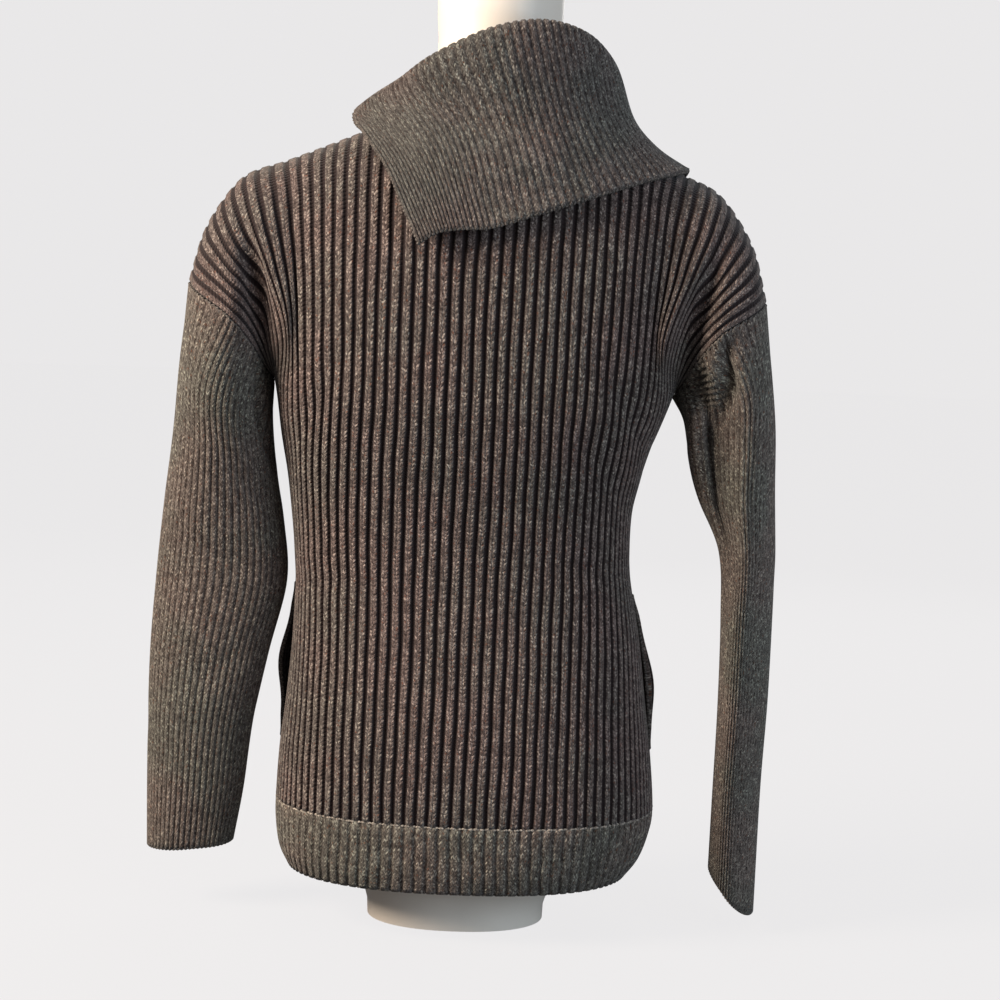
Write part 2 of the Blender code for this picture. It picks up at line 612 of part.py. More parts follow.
def dress_form(finish):
    trunk = np.array([form_ring(*ring) for ring in FORM_TRUNK])
    heights = [ring[0] for ring in FORM_TRUNK]
    fine = np.concatenate([heights[:5], np.linspace(0.170, heights[-1], 8)])
    rings = list(spline(heights, trunk, fine))
    rings += [ridge_ring(height, depth) for height, depth in zip(FORM_RIDGE_HEIGHTS, FORM_RIDGE_DEPTHS)]
    rings += [form_ring(*ring) for ring in FORM_NECK]
    points = np.concatenate(rings)
    faces = grid_faces(len(rings), FORM_SIDES, 0, True, False)
    last = (len(rings) - 1) * FORM_SIDES
    faces.append(tuple(range(FORM_SIDES))[::-1])
    faces.append(tuple(range(last, last + FORM_SIDES)))
    return add_object("dress_form", points, faces, finish, smooth=True)


def build():
    for old in list(bpy.data.objects):
        bpy.data.objects.remove(old, do_unlink=True)
    body_knit = material("body_knit", (0.105, 0.085, 0.078), 0.95)
    fine_knit = material("fine_knit", (0.100, 0.085, 0.072), 0.95)
    shell = material("form_shell", (0.80, 0.76, 0.70), 0.35)

    hem_rows = np.array([0.0, 0.7, 1.6, HEM_SEAM_RING - 0.012])
    lower_rows = np.array([HEM_SEAM_RING + 0.002, 4.2, 5.6, 7.0, 8.5, ARMPIT_RING])
    climbs = np.array([6, 12, 16, 20, 28, 32]) / SLEEVE_RIBS
    upper_rows = ARMPIT_RING + climbs * (SHOULDER_ROW - ARMPIT_RING)
    body_rows = np.concatenate([lower_rows, upper_rows])
    for face, name in ((-1, "back"), (1, "front")):
        panel_piece(name + "_panel", face, body_rows, BODY_RIB_HEIGHT, body_knit)
        panel_piece("hem_band_" + name, face, hem_rows, HEM_RIB_HEIGHT, fine_knit)

    sleeve_rows = np.array([0.0, 0.5, 1.0, 1.7, 2.4, 3.2, 4.2, 5.6, 7.0, 8.0])
    for side, name, table in ((-1, "left", LEFT_SLEEVE), (1, "right", RIGHT_SLEEVE)):
        sleeve_piece("sleeve_" + name, side, table, sleeve_rows, body_rows, fine_knit)
        pocket_piece("pocket_" + name, side, body_rows, body_knit)
    collar_piece(fine_knit)
    dress_form(shell)


build()
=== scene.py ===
"""Looks of a ribbed turtleneck sweater on a dress form: knit, seams, edges, the form's shell and the studio.

Metres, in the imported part's own frame: +Z up, the sweater's back faces -Y, and +X is on the right as seen
from behind. The cloth follows the same rings and stations as the part's solids, more finely and with more
ribs. Widths and heights are read at the rib crests.
"""

import math

import bpy
import numpy as np
from bpy.props import FloatProperty, FloatVectorProperty, IntProperty, PointerProperty
from bpy.types import Operator, Panel, PropertyGroup
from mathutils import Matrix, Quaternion, Vector
from mathutils.kdtree import KDTree


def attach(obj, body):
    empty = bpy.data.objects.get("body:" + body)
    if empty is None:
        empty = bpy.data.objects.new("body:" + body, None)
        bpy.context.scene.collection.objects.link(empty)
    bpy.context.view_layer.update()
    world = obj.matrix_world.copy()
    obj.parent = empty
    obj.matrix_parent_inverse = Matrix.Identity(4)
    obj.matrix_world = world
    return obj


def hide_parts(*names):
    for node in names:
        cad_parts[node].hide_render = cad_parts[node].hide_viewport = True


bl_info = {
    "name": "Ribbed turtleneck sweater",
    "version": (1, 0, 0),
    "blender": (4, 5, 0),
    "location": "View3D > Sidebar > Sweater",
    "description": "Builds the knit, the seams and the studio of a ribbed turtleneck sweater on a dress form",
    "category": "Object",
}

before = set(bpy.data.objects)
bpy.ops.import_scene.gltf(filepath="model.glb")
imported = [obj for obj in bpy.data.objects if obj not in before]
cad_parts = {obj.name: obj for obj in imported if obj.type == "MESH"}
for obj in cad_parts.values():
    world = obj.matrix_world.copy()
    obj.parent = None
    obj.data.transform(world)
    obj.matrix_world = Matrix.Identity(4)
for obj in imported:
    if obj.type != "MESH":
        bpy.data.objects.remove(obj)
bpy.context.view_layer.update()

# Cloth: walls are measured from the crest of a rib to the plain inside
SEAM_GAP = 0.0003
BODY_WALL = 0.0046
FINE_WALL = 0.0034

# Body section: a rounded square of this power, with ribs a little wider at its middle
SECTION_POWER = 2.35
MIDDLE_RIB_SPREAD = 0.16

# Rings of the body below the armpits, from the hem's edge up. The hem band is joined at HEM_SEAM_RING
# Columns: height, middle x, half width, back, front
BODY_RINGS = (
    (0.0455, 0.000, 0.1500, 0.1150, 0.1140),
    (0.0620, 0.002, 0.1600, 0.1215, 0.1200),
    (0.0840, 0.004, 0.1655, 0.1245, 0.1230),
    (0.1050, 0.005, 0.1670, 0.1250, 0.1240),
    (0.1500, 0.004, 0.1640, 0.1225, 0.1250),
    (0.2000, 0.003, 0.1580, 0.1165, 0.1235),
    (0.2550, 0.001, 0.1525, 0.1070, 0.1170),
    (0.3100, -0.004, 0.1475, 0.0990, 0.1120),
    (0.3650, -0.007, 0.1500, 0.1010, 0.1160),
    (0.4150, -0.005, 0.1600, 0.1090, 0.1250),
    (0.4650, 0.000, 0.1730, 0.1150, 0.1290),
)
HEM_SEAM_RING = 3
ARMPIT_RING = 10
SHOULDER_ROW = len(BODY_RINGS) + 4

# Neckline and shoulder line. The neck stands a little to the right of the hips
NECK_X = 0.011
NECK_Y = 0.006
NECK_HALF_WIDTH = 0.070
NECKLINE_HEIGHT = 0.706
NECKLINE_SHARE = 0.245
BACK_NECK_DEPTH = 0.062
BACK_NECK_DROP = 0.018
FRONT_NECK_DEPTH = 0.078
FRONT_NECK_DROP = 0.046
SHOULDER_SHARE = 0.72
SHOULDER_X = 0.207
SHOULDER_HEIGHT = 0.645
LAST_ARCHED_SHARE = 0.60
ARCHED_KNOTS = (0.36, 0.48, LAST_ARCHED_SHARE)
NECKLINE_OVERRUN = 0.02
NECKLINE_STEPS = 61
QUARTER_STEPS = 361

# The arch over the shoulder blade: how far up its rows lie, and how they rise, fall back and lean outwards
ARCH_CLIMBS = (0.2, 0.4, 0.6, 0.8)
ARCH_RISE_POWER = 0.9
ARCH_FALL_POWER = 0.72
ARCH_LEAN_POWER = 1.1

# Dropped shoulder: where chosen ribs run between armpit level and shoulder line, for the back of one side.
# Each rib climbs the body, dips into the crease behind the arm and wraps the arm up to the shoulder line
# Columns: share, body, crease, arm back, arm upper, arm top
CAP_RIBS = (
    (0.72, (0.160, 0.072, 0.515), (0.177, 0.066, 0.565), (0.193, 0.054, 0.606), (0.204, 0.030, 0.634),
     (0.207, 0.000, 0.645)),
    (0.80, (0.169, 0.059, 0.504), (0.183, 0.057, 0.551), (0.205, 0.058, 0.582), (0.221, 0.036, 0.609),
     (0.227, 0.000, 0.621)),
    (0.88, (0.175, 0.045, 0.495), (0.187, 0.051, 0.532), (0.209, 0.065, 0.557), (0.233, 0.044, 0.583),
     (0.241, 0.000, 0.595)),
    (0.94, (0.178, 0.034, 0.487), (0.189, 0.051, 0.516), (0.208, 0.070, 0.539), (0.238, 0.048, 0.562),
     (0.2475, 0.000, 0.573)),
    (1.00, (0.180, 0.024, 0.479), (0.191, 0.055, 0.502), (0.208, 0.072, 0.523), (0.239, 0.050, 0.542),
     (0.2530, 0.000, 0.551)),
)

# Sleeve rings from armhole to cuff edge, x measured outwards. Lean and tip raise a ring's outer and front
# Columns: height, x, y, half width, half depth, lean, tip, turn, fold
LEFT_SLEEVE = (
    (0.458, 0.2165, 0.000, 0.0409, 0.0694, 0.70, 0.00, 0.0, 0.00),
    (0.404, 0.2160, -0.002, 0.0459, 0.0544, 0.40, 0.00, 0.0, 0.04),
    (0.350, 0.2150, -0.004, 0.0534, 0.0414, 0.18, 0.00, 2.0, 0.08),
    (0.295, 0.2160, -0.004, 0.0579, 0.0334, 0.05, 0.00, 4.0, 0.06),
    (0.230, 0.2250, -0.004, 0.0529, 0.0314, 0.00, 0.00, 5.0, 0.03),
    (0.165, 0.2315, -0.004, 0.0469, 0.0294, 0.00, 0.00, 6.0, 0.00),
    (0.108, 0.2345, -0.003, 0.0434, 0.0279, 0.00, 0.03, 6.0, 0.00),
    (0.056, 0.2380, -0.001, 0.0389, 0.0269, -0.10, 0.08, 6.0, 0.10),
)
RIGHT_SLEEVE = (
    (0.470, 0.2220, 0.000, 0.0374, 0.0764, 0.62, 0.00, -2.0, 0.26),
    (0.430, 0.2280, 0.000, 0.0374, 0.0744, 0.34, 0.00, -4.0, 0.32),
    (0.385, 0.2345, -0.002, 0.0329, 0.0714, 0.12, 0.00, -8.0, 0.28),
    (0.335, 0.2455, -0.004, 0.0239, 0.0664, 0.00, 0.00, -12.0, 0.14),
    (0.280, 0.2475, -0.006, 0.0214, 0.0614, 0.00, 0.00, -14.0, 0.04),
    (0.200, 0.2475, -0.008, 0.0204, 0.0574, 0.00, 0.03, -15.0, 0.00),
    (0.120, 0.2455, -0.009, 0.0194, 0.0534, 0.00, 0.08, -16.0, 0.00),
    (0.034, 0.2445, -0.010, 0.0194, 0.0474, -1.10, 0.16, -17.0, 0.02),
)
FOLD_PLACE = 0.20
FOLD_WIDTH = 0.075
ARMHOLE_GAP = 0.0002
ARMPIT_SPREAD = 0.0020

# Collar: one strip from the slit round the neck
# Each row joins a place on the neckline, the fold and the edge
# Turn is counted from the middle of the back towards +X
# Columns: turn, fold, edge
COLLAR_STATIONS = (
    (-92.0, (-0.1030, -0.0300, 0.7050), (-0.0480, -0.1260, 0.5890)),
    (-72.0, (-0.0880, -0.0450, 0.7150), (-0.0330, -0.1240, 0.5985)),
    (-50.0, (-0.0660, -0.0590, 0.7280), (-0.0150, -0.1220, 0.6020)),
    (-27.0, (-0.0390, -0.0720, 0.7470), (0.0120, -0.1180, 0.6045)),
    (0.0, (0.0070, -0.0820, 0.7690), (0.0520, -0.1100, 0.6180)),
    (25.0, (0.0480, -0.0770, 0.7770), (0.0960, -0.0900, 0.6340)),
    (50.0, (0.0830, -0.0580, 0.7700), (0.1380, -0.0580, 0.6490)),
    (75.0, (0.1050, -0.0240, 0.7530), (0.1690, -0.0230, 0.6560)),
    (100.0, (0.1090, 0.0160, 0.7420), (0.1750, 0.0230, 0.6560)),
    (130.0, (0.0950, 0.0600, 0.7360), (0.1480, 0.0850, 0.6350)),
    (160.0, (0.0580, 0.0860, 0.7340), (0.0820, 0.1240, 0.6060)),
    (190.0, (0.0080, 0.0930, 0.7320), (0.0050, 0.1380, 0.5920)),
    (218.0, (-0.0440, 0.0830, 0.7280), (-0.0700, 0.1260, 0.6020)),
    (248.0, (-0.0920, 0.0220, 0.7160), (-0.1220, 0.0660, 0.6420)),
)
COLLAR_BASE_LIFT = 0.0007
COLLAR_LEG_SPREAD = 0.0085
COLLAR_LEG_DROP = 0.011
COLLAR_HOLLOW = 0.014
COLLAR_END_BULGE = 0.014
COLLAR_OUTER_LEG_SHARE = 0.8
COLLAR_HOLLOW_PLACE = 0.45
COLLAR_FLARE_PLACE = 0.8
COLLAR_FLARE_SAG = 0.45
COLLAR_BULGE_LEAN = 0.7
COLLAR_BASE_RISE = 0.35
COLLAR_SMOOTHING = 12

# How far the collar's inside stays off the body's crests. Columns: row, least gap
COLLAR_LAYERS = (
    (0.0, 0.0000),
    (0.4, 0.0045),
    (1.2, 0.0060),
    (2.0, 0.0074),
    (2.6, 0.0084),
    (3.0, 0.0092),
    (3.4, 0.0098),
    (4.0, 0.0094),
    (4.5, 0.0080),
    (5.0, 0.0066),
    (5.7, 0.0050),
    (7.0, 0.0038),
)

# Side pockets: a patch on the front whose rear edge gapes. Shares are counted from the front's middle
POCKET_INNER_SHARE = 0.44
POCKET_MOUTH_SHARE = 0.980
POCKET_BOTTOM = 0.155
POCKET_TOP = 0.290
POCKET_WALL = 0.0030
POCKET_GAPE = 0.0078
POCKET_GAPE_SHARE = 0.26
POCKET_SWELL_SHIFT = {"left": 1.0, "right": 0.80}
POCKET_FILL = {"left": 0.0, "right": 0.85}
POCKET_ROLL_SHARE = 0.07
POCKET_ROLL_DEPTH = 0.97
POCKET_SWELL_POWER = 4
POCKET_END_WALL = 0.35
POCKET_END_CLIMB = 0.16
POCKET_INNER_STEP = 3

# Dress form: rings of its trunk and neck, and the ridge that carries the shoulder line
# Columns: height, middle x, middle y, half width, half depth, power
FORM_TRUNK = (
    (0.000, 0.000, 0.000, 0.0780, 0.0640, 2.2),
    (0.020, 0.000, 0.000, 0.0800, 0.0650, 2.2),
    (0.050, 0.002, 0.000, 0.0980, 0.0760, 2.2),
    (0.085, 0.004, 0.000, 0.1270, 0.0920, 2.3),
    (0.130, 0.003, 0.000, 0.1400, 0.0990, 2.3),
    (0.210, 0.001, 0.000, 0.1360, 0.0960, 2.2),
    (0.310, -0.002, 0.002, 0.1200, 0.0820, 2.2),
    (0.400, 0.000, 0.006, 0.1340, 0.0920, 2.2),
    (0.480, 0.002, 0.004, 0.1480, 0.0940, 2.3),
    (0.560, 0.003, 0.000, 0.1660, 0.0820, 2.5),
    (0.610, 0.003, 0.000, 0.1860, 0.0580, 2.4),
)
FORM_NECK = (
    (0.6860, 0.011, 0.000, 0.0780, 0.0400, 2.0),
    (0.6920, 0.011, 0.002, 0.0620, 0.0440, 2.0),
    (0.7000, 0.011, 0.003, 0.0575, 0.0480, 2.0),
    (0.7120, 0.011, 0.004, 0.0555, 0.0520, 2.0),
    (0.7300, 0.011, 0.005, 0.0545, 0.0530, 2.0),
    (0.7700, 0.011, 0.006, 0.0530, 0.0520, 2.0),
    (0.8140, 0.011, 0.007, 0.0530, 0.0520, 2.0),
    (0.8200, 0.011, 0.007, 0.0490, 0.0480, 2.0),
)
FORM_RIDGE_HEIGHTS = (0.642, 0.652, 0.662, 0.671, 0.679)
FORM_RIDGE_DEPTHS = (0.0380, 0.0360, 0.0360, 0.0370, 0.0380)
FORM_RIDGE_POWER = 1.6
FORM_RIDGE_GAP = 0.0005
FORM_SIDES = 96
FORM_TRUNK_RINGS = 48
FORM_NECK_RINGS = 12
FORM_STRAIGHT_RING = 4
FORM_TOP_HEIGHTS = (0.75, 0.77, 0.79, 0.806, 0.814, 0.818, 0.82)
FORM_SHARP_EDGE = 50.0

# Soft troughs of the worn cloth, by the place of their middle as seen from behind or, on a sleeve, unrolled
# from the armpit by the back and up from the armhole seam
# Columns: x, z, angle, half length, half width, depth
BACK_CREASES = (
    (-0.189, 0.560, 103.0, 0.046, 0.0072, 0.0085),
    (-0.166, 0.520, 98.0, 0.040, 0.0060, 0.0020),
    (0.196, 0.562, 74.0, 0.042, 0.0068, 0.0070),
    (0.172, 0.512, 80.0, 0.045, 0.0060, 0.0024),
    (-0.128, 0.455, 66.0, 0.055, 0.0100, 0.0022),
    (0.134, 0.452, 116.0, 0.055, 0.0100, 0.0024),
    (0.112, 0.405, 128.0, 0.042, 0.0100, 0.0014),
    (-0.112, 0.304, 8.0, 0.034, 0.0100, 0.0013),
    (0.100, 0.322, 172.0, 0.040, 0.0100, 0.0014),
    (0.044, 0.268, 176.0, 0.050, 0.0140, 0.0010),
    (-0.058, 0.182, 96.0, 0.060, 0.0120, 0.0010),
    (0.084, 0.166, 84.0, 0.052, 0.0120, 0.0012),
)
FRONT_CREASES = (
    (-0.190, 0.556, 104.0, 0.042, 0.0060, 0.0042),
    (0.194, 0.560, 76.0, 0.040, 0.0060, 0.0044),
    (-0.126, 0.462, 62.0, 0.058, 0.0110, 0.0022),
    (0.128, 0.458, 118.0, 0.056, 0.0100, 0.0024),
    (0.100, 0.420, 130.0, 0.044, 0.0100, 0.0014),
    (-0.100, 0.322, 10.0, 0.040, 0.0100, 0.0014),
    (0.092, 0.310, 168.0, 0.042, 0.0110, 0.0014),
    (0.020, 0.235, 92.0, 0.060, 0.0140, 0.0010),
)
LEFT_SLEEVE_CREASES = (
    (0.030, -0.050, 70.0, 0.040, 0.0060, 0.0060),
    (0.052, -0.120, 34.0, 0.038, 0.0090, 0.0022),
    (0.085, -0.186, 18.0, 0.040, 0.0100, 0.0018),
    (0.060, -0.262, 150.0, 0.036, 0.0100, 0.0014),
    (0.120, -0.330, 24.0, 0.040, 0.0110, 0.0010),
    (0.262, -0.110, 148.0, 0.044, 0.0090, 0.0022),
    (0.236, -0.190, 22.0, 0.040, 0.0100, 0.0018),
    (0.285, -0.290, 160.0, 0.034, 0.0100, 0.0012),
)
RIGHT_SLEEVE_CREASES = (
    (0.088, -0.030, 62.0, 0.038, 0.0078, 0.0125),
    (0.052, -0.104, 90.0, 0.078, 0.0105, 0.0170),
    (0.030, -0.150, 84.0, 0.050, 0.0060, 0.0022),
    (0.106, -0.150, 96.0, 0.060, 0.0080, 0.0016),
    (0.112, -0.290, 84.0, 0.060, 0.0090, 0.0012),
    (0.255, -0.100, 144.0, 0.042, 0.0090, 0.0022),
    (0.232, -0.210, 28.0, 0.040, 0.0100, 0.0016),
)
SLEEVE_GIRTH = 0.33
SLEEVE_ROW_LENGTH = 0.052
SEAM_HOLD = 0.26

# Short stacked ridges under the right armpit, unrolled like the sleeve's troughs
PLEAT_MIDDLE = (0.053, -0.018)
PLEAT_SPREAD = (0.019, 0.030)
PLEAT_RISE = 0.63
PLEAT_PITCH = 0.0068
PLEAT_DEPTH = 0.0046
PLEAT_BOW = 9.0
CREASE_RIDGE_SHARE = 0.35
CREASE_RIDGE_PLACE = 2.2

# Sideways drift of hand-knit ribs. Columns: share, waves along the rib, waves across the ribs, start
DRIFT_WAVES = ((0.5, 31.0, 0.23, 0.0), (0.3, 74.0, 0.71, 1.3), (0.2, 143.0, -1.93, 0.4))
DRIFT_FREE_RIBS = 3.0
DRIFT_ROW_LENGTH = 0.05

# Places across one rib where the fine mesh has a column, close at the groove and apart on the crest
DEEP_RIB_COLUMNS = (0.0, 0.11, 0.17, 0.24, 0.38, 0.62, 0.76, 0.83, 0.89)
FINE_RIB_COLUMNS = (0.0, 0.11, 0.24, 0.42, 0.58, 0.76, 0.89)
GROOVE_SLOPE = 0.11
DEEP_CREST_SHARE = 0.55
FINE_CREST_SHARE = 0.62
BODY_ROW_COUNT = 60
SHOULDER_ROW_COUNT = 46
HEM_ROW_COUNT = 13
DENSE_COLUMNS = 801
PITCH_COLUMNS = 20
PANEL_START = 0.002
HEM_END = 0.012
SIDE_HOLD = 0.04
SHOULDER_HOLD = 0.5
SHOULDER_RELIEF = 0.45
SHOULDER_RELIEF_ROWS = 2.5
SLEEVE_ROW_STEPS = ((0.0, 1.0, 46), (1.0, 2.0, 16), (2.0, 8.0, 62))
COLLAR_ROW_COUNT = 54
CLOUD_COLUMNS = 161
CLOUD_ROWS = 81
POCKET_ROW_COUNT = 24

# Knitted looks. Columns: stitch height, slope of its arms, light share of a rib outside the painted groove
# shade, strength of the painted shade in its grooves, contrast between stitches, wales in a rib
BODY_YARN = (0.0036, 0.80, 0.46, 1.00, 0.14, 1.0)
FINE_YARN = (0.0036, 0.62, 0.62, 0.42, 0.15, 2.0)
BAND_YARN = (0.0038, 0.62, 0.70, 0.50, 0.15, 3.0)
GROOVE_SHADE_WIDTH = 0.20
STRANDS_ACROSS = 4.0
STRANDS_ALONG = 2.2
ARM_SHIFT = 7.3
RIB_SHIFT = 3.7
MARL_STOPS = (0.30, 0.47, 0.62, 0.76)
NUBS_ACROSS = 7.0
NUBS_ALONG = 2.6
CREAM_NUBS = (0.90, 0.99, 0.0, 0.75)
RUST_NUBS = (0.03, 0.01, 0.0, 0.6)
PATCH_SCALE = 14.0
PATCH_RANGE = (0.35, 0.65)
YARN_ROUNDNESS = 0.6
RIB_MIDDLE_DIP = (0.0, 0.16, 0.35, 1.0)
FIBRE_RELIEF = 0.6
YARN_BUMP = 0.0008
WOOL_ROUGHNESS = 0.93

# Plain yarn of stitches and edges, and the form's lacquer
YARN_FLECK_SCALE = 700.0
YARN_FLECK_RANGE = (0.35, 0.65)
YARN_DARK_SHARE = 0.45
YARN_LIGHT_SHARE = 1.8
SHELL_PATCH_SCALE = 22.0
SHELL_PATCH_RANGE = (0.3, 0.7)
SHELL_DULL_SHARE = 0.94
SHELL_ROUGHNESS = (0.42, 0.52)
SHELL_COAT = 0.12

# Grooves of the hem band and of the pockets
HEM_GROOVE_DEPTH = 0.0013
POCKET_GROOVE_DEPTH = 0.0016
POCKET_CREST_SHARE = 0.62

# Each piece's cut before wearing. Columns: flat width, flat length, area
PANEL_CUT = (0.56, 0.62, 0.30)
HEM_CUT = (0.50, 0.065, 0.0305)
SLEEVE_CUT = (0.36, 0.46, 0.135)
COLLAR_CUT = (0.62, 0.26, 0.14)
POCKET_CUT = (0.13, 0.137, 0.0172)

# Linked and bound-off stitches. Columns: spacing, length, width, height, slant
HEM_LINKS = (0.0053, 0.0056, 0.0024, 0.0018, 0.0)
HEM_BINDING = (0.0038, 0.0044, 0.0024, 0.0042, 0.35)
SHOULDER_LINKS = (0.0050, 0.0042, 0.0020, 0.0016, 0.3)
ARMHOLE_LINKS = (0.0050, 0.0054, 0.0022, 0.0018, 0.3)
EDGE_BINDING = (0.0036, 0.0042, 0.0024, 0.0036, 0.35)
POCKET_BINDING = (0.0038, 0.0044, 0.0022, 0.0030, 0.35)

# How far the linked stitches sit below the ribs' surface
HEM_LINK_SUNK = 0.0005
SHOULDER_LINK_SUNK = 0.0008
ARMHOLE_LINK_SUNK = 0.0006

# Studio lights. Columns: name, place, size, colour
KEY_LIGHT = ("key_left", (-2.2, -1.1, 1.7), 1.2, (1.0, 0.88, 0.74))
FILL_LIGHT = ("fill_right", (1.8, -1.7, 0.75), 1.4, (0.70, 0.86, 1.0))
BACK_LIGHT = ("back_soft", (0.4, 2.2, 1.5), 1.6, (1.0, 0.98, 0.95))
LIGHT_TARGET = (0.0, 0.0, 0.42)
FLOOR_RADIUS = 14.0
FLOOR_SIDES = 64
FLOOR_DROP = 0.0005
FLOOR_SHADE = 0.05
FLOOR_GLOW = 0.10
BACKDROP_GLOW = 1.02

# Camera and framing, from the photograph
PHOTO_TARGET = (0.0264, 0.0, 0.371)
PHOTO_DISTANCE = 2.0
PHOTO_ELEVATION = 5.0
PHOTO_ROLL = 2.2
PHOTO_LENS = 81.8

# What the operators share: the grids of each finished cloth piece, by its name
cut = {}


def spline(knots, values, at):
    """A smooth curve through values at knots, read at each place in at."""
    knots = np.asarray(knots, float)
    values = np.asarray(values, float)
    at = np.asarray(at, float)
    steps = np.diff(knots).reshape((-1,) + (1,) * (values.ndim - 1))
    slopes = np.diff(values, axis=0) / steps
    tangents = np.concatenate([slopes[:1], slopes, slopes[-1:]])
    tangents = (tangents[:-1] + tangents[1:]) / 2
    index = np.clip(np.searchsorted(knots, at, side="right") - 1, 0, len(knots) - 2)
    step = steps[index]
    u = ((at - knots[index]) / np.diff(knots)[index]).reshape((-1,) + (1,) * (values.ndim - 1))
    start, end = values[index], values[index + 1]
    pull, push = tangents[index] * step, tangents[index + 1] * step
    return (
        start * (2 * u**3 - 3 * u**2 + 1)
        + pull * (u**3 - 2 * u**2 + u)
        + end * (3 * u**2 - 2 * u**3)
        + push * (u**3 - u**2)
    )


def smoothstep(low, high, value):
    share = np.clip((value - low) / (high - low), 0.0, 1.0)
    return share * share * (3 - 2 * share)


def unit(vectors):
    return vectors / np.maximum(np.linalg.norm(vectors, axis=-1, keepdims=True), 1e-9)


def section_quarter(half_width, depth, shares):
    """Places on a quarter of a rounded-square section, by share of its length from its middle to its side."""
    angles = np.linspace(0.0, math.pi / 2, QUARTER_STEPS)
    x = half_width * np.sin(angles) ** (2 / SECTION_POWER)
    y = depth * np.cos(angles) ** (2 / SECTION_POWER)
    lengths = np.concatenate([[0.0], np.cumsum(np.hypot(np.diff(x), np.diff(y)))])
    spread = np.abs(shares) * (1 + MIDDLE_RIB_SPREAD * (1 - shares**2))
    wanted = spread * lengths[-1]
    return np.interp(wanted, lengths, x) * np.sign(shares), np.interp(wanted, lengths, y)


def body_ring(ring, face, shares):
    height, middle, half_width, back, front = ring
    x, y = section_quarter(half_width, back if face < 0 else front, shares)
    return np.stack([middle + x, face * y, np.full_like(x, height)], axis=1)


def shoulder_line(face, shares):
    """The panel's top edge: the neckline, then the shoulder down to its tip."""
    across = shares / SHOULDER_SHARE
    x = SHOULDER_X * across + NECK_X * (1 - across**2)
    scoop = np.sqrt(np.clip(1 - (shares / NECKLINE_SHARE) ** 2, 0.0, 1.0))
    slope = (np.abs(shares) - NECKLINE_SHARE) / (SHOULDER_SHARE - NECKLINE_SHARE)
    fall = np.clip(slope, 0.0, 1.0) * (NECKLINE_HEIGHT - SHOULDER_HEIGHT)
    depth, drop = (BACK_NECK_DEPTH, BACK_NECK_DROP) if face < 0 else (FRONT_NECK_DEPTH, FRONT_NECK_DROP)
    return np.stack([x, face * depth * scoop, NECKLINE_HEIGHT - fall - drop * scoop**2], axis=1)


def arched_rows(face, shares):
    """Rows between armpit level and shoulder line where the cloth arches straight over the shoulder blade."""
    start = body_ring(BODY_RINGS[ARMPIT_RING], face, shares)
    end = shoulder_line(face, shares)
    rows = []
    for climb in ARCH_CLIMBS:
        rise = math.sin(climb * math.pi / 2) ** ARCH_RISE_POWER
        fall = math.cos(climb * math.pi / 2) ** ARCH_FALL_POWER
        x = start[:, 0] + (end[:, 0] - start[:, 0]) * climb**ARCH_LEAN_POWER
        y = end[:, 1] + (start[:, 1] - end[:, 1]) * fall
        z = start[:, 2] + (end[:, 2] - start[:, 2]) * rise
        rows.append(np.stack([x, y, z], axis=1))
    return np.array(rows + [end])


def cap_rows(face, shares):
    """The same rows out on the dropped shoulder, through the ribs of CAP_RIBS."""
    side = 1.0 if shares.size and shares[0] > 0 else -1.0
    inner = np.array(ARCHED_KNOTS)
    arched = arched_rows(face, inner * side)
    knots = list(inner) + [rib[0] for rib in CAP_RIBS]
    table = np.array([rib[1:] for rib in CAP_RIBS]) * np.array([side, face, 1.0])
    values = np.concatenate([arched.transpose(1, 0, 2), table])
    return spline(knots, values, np.abs(shares)).transpose(1, 0, 2)


def panel(face, shares, rows):
    """Crest points of the back (face -1) or front (face 1). Shares run -1 to 1 across, rows count rings."""
    shares = np.asarray(shares, float)
    below = np.array([body_ring(ring, face, shares) for ring in BODY_RINGS])
    above = arched_rows(face, shares)
    for outer in (shares > LAST_ARCHED_SHARE, shares < -LAST_ARCHED_SHARE):
        if outer.any():
            above[:, outer] = cap_rows(face, shares[outer])
    every = np.concatenate([below, above])
    return spline(np.arange(len(every)), every, rows)


def normals_of(surface, across, along, limits):
    """Outward normals of a surface of (across, along), by small steps kept inside limits."""
    step = 0.002
    ahead = surface(np.minimum(across + step, limits[1]), along)
    behind = surface(np.maximum(across - step, limits[0]), along)
    low, high = along.min(), along.max()
    up = surface(across, np.minimum(along + step * 5, high))
    down = surface(across, np.maximum(along - step * 5, low))
    return unit(np.cross(ahead - behind, up - down))


def panel_normals(face, shares, rows):
    normals = normals_of(lambda s, r: panel(face, s, r), shares, rows, (-1.0, 1.0)) * -face
    on_side = (np.abs(shares) > 0.999)[None, :] & (rows <= ARMPIT_RING + 0.05)[:, None]
    on_top = (np.abs(shares) > NECKLINE_SHARE)[None, :] & (rows > SHOULDER_ROW - 0.01)[:, None]
    normals[..., 1] = np.where(on_side | on_top, 0.0, normals[..., 1])
    return unit(normals)


def troughs(right, up, creases, girth=1.0):
    """How deep the cloth is pressed in at places to the right and up, with a low ridge beside each trough."""
    press = np.zeros(np.broadcast(right, up).shape)
    for x, z, angle, half_length, half_width, depth in creases:
        turn = math.radians(angle)
        aside = (right - x + girth / 2) % girth - girth / 2
        along = (aside * math.cos(turn) + (up - z) * math.sin(turn)) / half_length
        across = ((up - z) * math.cos(turn) - aside * math.sin(turn)) / half_width
        ridge = CREASE_RIDGE_SHARE * np.exp(-((across - CREASE_RIDGE_PLACE) ** 2))
        press += depth * np.exp(-(along**2)) * (np.exp(-(across**2)) - ridge)
    return press


